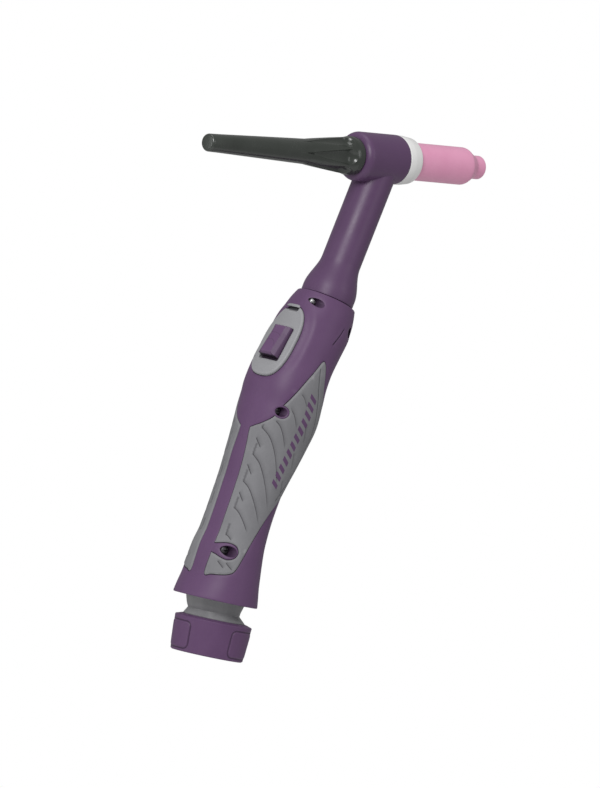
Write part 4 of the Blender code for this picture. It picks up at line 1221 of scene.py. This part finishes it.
def build_cap():
    obj = solid("cap_body", cap, 144, HEAD)
    for k in range(6):
        boolean(obj, flute_cutter(k), "DIFFERENCE")
    obj.data.materials.clear()
    obj.data.materials.append(PHENOLIC)
    for p in obj.data.polygons:
        p.material_index = 0
    obj.data.shade_smooth()
    obj.data.set_sharp_from_angle(angle=math.radians(20))
    adopt(obj, "cap", ("back_cap",))


build_cap()

ring = rounded([(7.0, HEAD_FRONT + 0.3, 0.2), (12.03, HEAD_FRONT + 0.3, 0.35), (11.95, 61.5, 2.0), (11.2, GASKET_FRONT, 1.9), (7.0, GASKET_FRONT, 0.3)], True, 7)
turned("insulator_ring", ring, 128, HEAD, PTFE, "cup_carrier", ("cup_gasket",))

cup = rounded([(6.7, 67.7, 0.2), (9.05, 67.7, 0.35), (9.19, 68.6, 0.4), (9.19, 105.7, 4.2), (5.75, 112.1, 3.2), (5.75, CUP_END - 0.05, 0.85), (4.0, CUP_END - 0.05, 0.8),
               (4.0, 112.1, 2.0), (6.7, 104.7, 3.0)], True, 9)
turned("nozzle", subdivided(cup, 3.0), 144, HEAD, CERAMIC, "cup", ("ceramic_cup",))


# ---------------------------------------------------------------- screws
def build_screw(label, x, z, head, depth):
    """Pan head with a cross recess."""
    where = frame_on((x, 0.0, z), (0.0, -1.0, 0.0), (0.0, 0.0, 1.0))
    deep = depth - 2.5 - 1.8
    tail = deep - 1.1 if label == "case_screw_top" else -5.6
    dome = rounded([(0.0, tail, 0), (1.15, tail + 0.3, 0.3), (1.15, deep, 0.1), (head, deep, 0.15), (head, deep + 0.9, 0.7), (head * 0.45, deep + 1.8, 0.8), (0.0, deep + 1.82, 0)], False, 5)
    obj = solid(label + "_head", dome, 48, where)
    for turn in (0, 1):
        long, short = head * 0.62, head * 0.16
        lo, hi = (-long, -short), (long, short)
        if turn:
            lo, hi = (-short, -long), (short, long)
        verts = [(px, py, pz) for pz in (deep + 0.7, deep + 3.0) for px, py in ((lo[0], lo[1]), (hi[0], lo[1]), (hi[0], hi[1]), (lo[0], hi[1]))]
        mesh = bpy.data.meshes.new("slot")
        mesh.from_pydata([tuple(p) for p in to_metres(moved(where, verts))], [], [(3, 2, 1, 0), (4, 5, 6, 7), (0, 1, 5, 4), (1, 2, 6, 5), (2, 3, 7, 6), (3, 0, 4, 7)])
        cutter = bpy.data.objects.new("slot", mesh)
        bpy.context.scene.collection.objects.link(cutter)
        flip_outward(cutter)
        boolean(obj, cutter, "DIFFERENCE")
    obj.data.materials.clear()
    # the top screw is plain steel; the others get the darkened copy as painted shade
    obj.data.materials.append(STEEL if label == "case_screw_top" else SHADED_STEEL)
    for p in obj.data.polygons:
        p.material_index = 0
    obj.data.shade_smooth()
    obj.data.set_sharp_from_angle(angle=math.radians(30))
    adopt(obj, "handle", (label,))


for label, x, z, radius, head in SCREWS:
    build_screw(label, x, z, head, SCREW_DEPTHS[label])


# ---------------------------------------------------------------- materials of the CAD pieces that stay
KEPT = {
    "switch_body": SWITCH, "switch_plunger": SWITCH, "button_spring": STEEL, "head_core": BRASS, "neck_tube": COPPER,
    "neck_clamp_ring": BRASS, "power_cable_fitting": BRASS, "collet_body": COPPER, "collet": COPPER, "swivel_slip_ring": PTFE,
    "sheath_clamp_ring": KNUCKLE, "back_cap_o_ring": RUBBER, "tungsten_electrode": TUNGSTEN,
}
for node, mat in KEPT.items():
    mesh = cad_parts[node].data
    if not mesh.materials:
        mesh.materials.append(mat)
    for k in range(len(mesh.materials)):
        mesh.materials[k] = mat


# ---------------------------------------------------------------- floor
def build_floor():
    pts, faces = [], []
    rings = [0.0, 0.15, 0.3, 0.45, 0.56, 0.6]
    count = 96
    pts.append((0.02, 0.0, -0.285))
    for r in rings[1:]:
        for k in range(count):
            t = 2 * math.pi * k / count
            pts.append((0.02 + r * math.cos(t), r * math.sin(t), -0.285 - (0.01 if r == rings[-1] else 0.0)))
    for k in range(count):
        faces.append((0, 1 + k, 1 + (k + 1) % count))
    for i in range(len(rings) - 2):
        for k in range(count):
            a, b = 1 + i * count + k, 1 + i * count + (k + 1) % count
            faces.append((a, a + count, b + count, b))
    mesh = bpy.data.meshes.new("floor")
    mesh.from_pydata(pts, [], faces)
    mesh.shade_smooth()
    obj = bpy.data.objects.new("floor", mesh)
    bpy.context.scene.collection.objects.link(obj)
    mesh.materials.append(moulded("floor_paper", (0.86, 0.86, 0.86), (0.89, 0.89, 0.89), 0.85, 0.04, 300.0, 0.05, 0.2, edges=0.0, with_painted_shade=False))


build_floor()
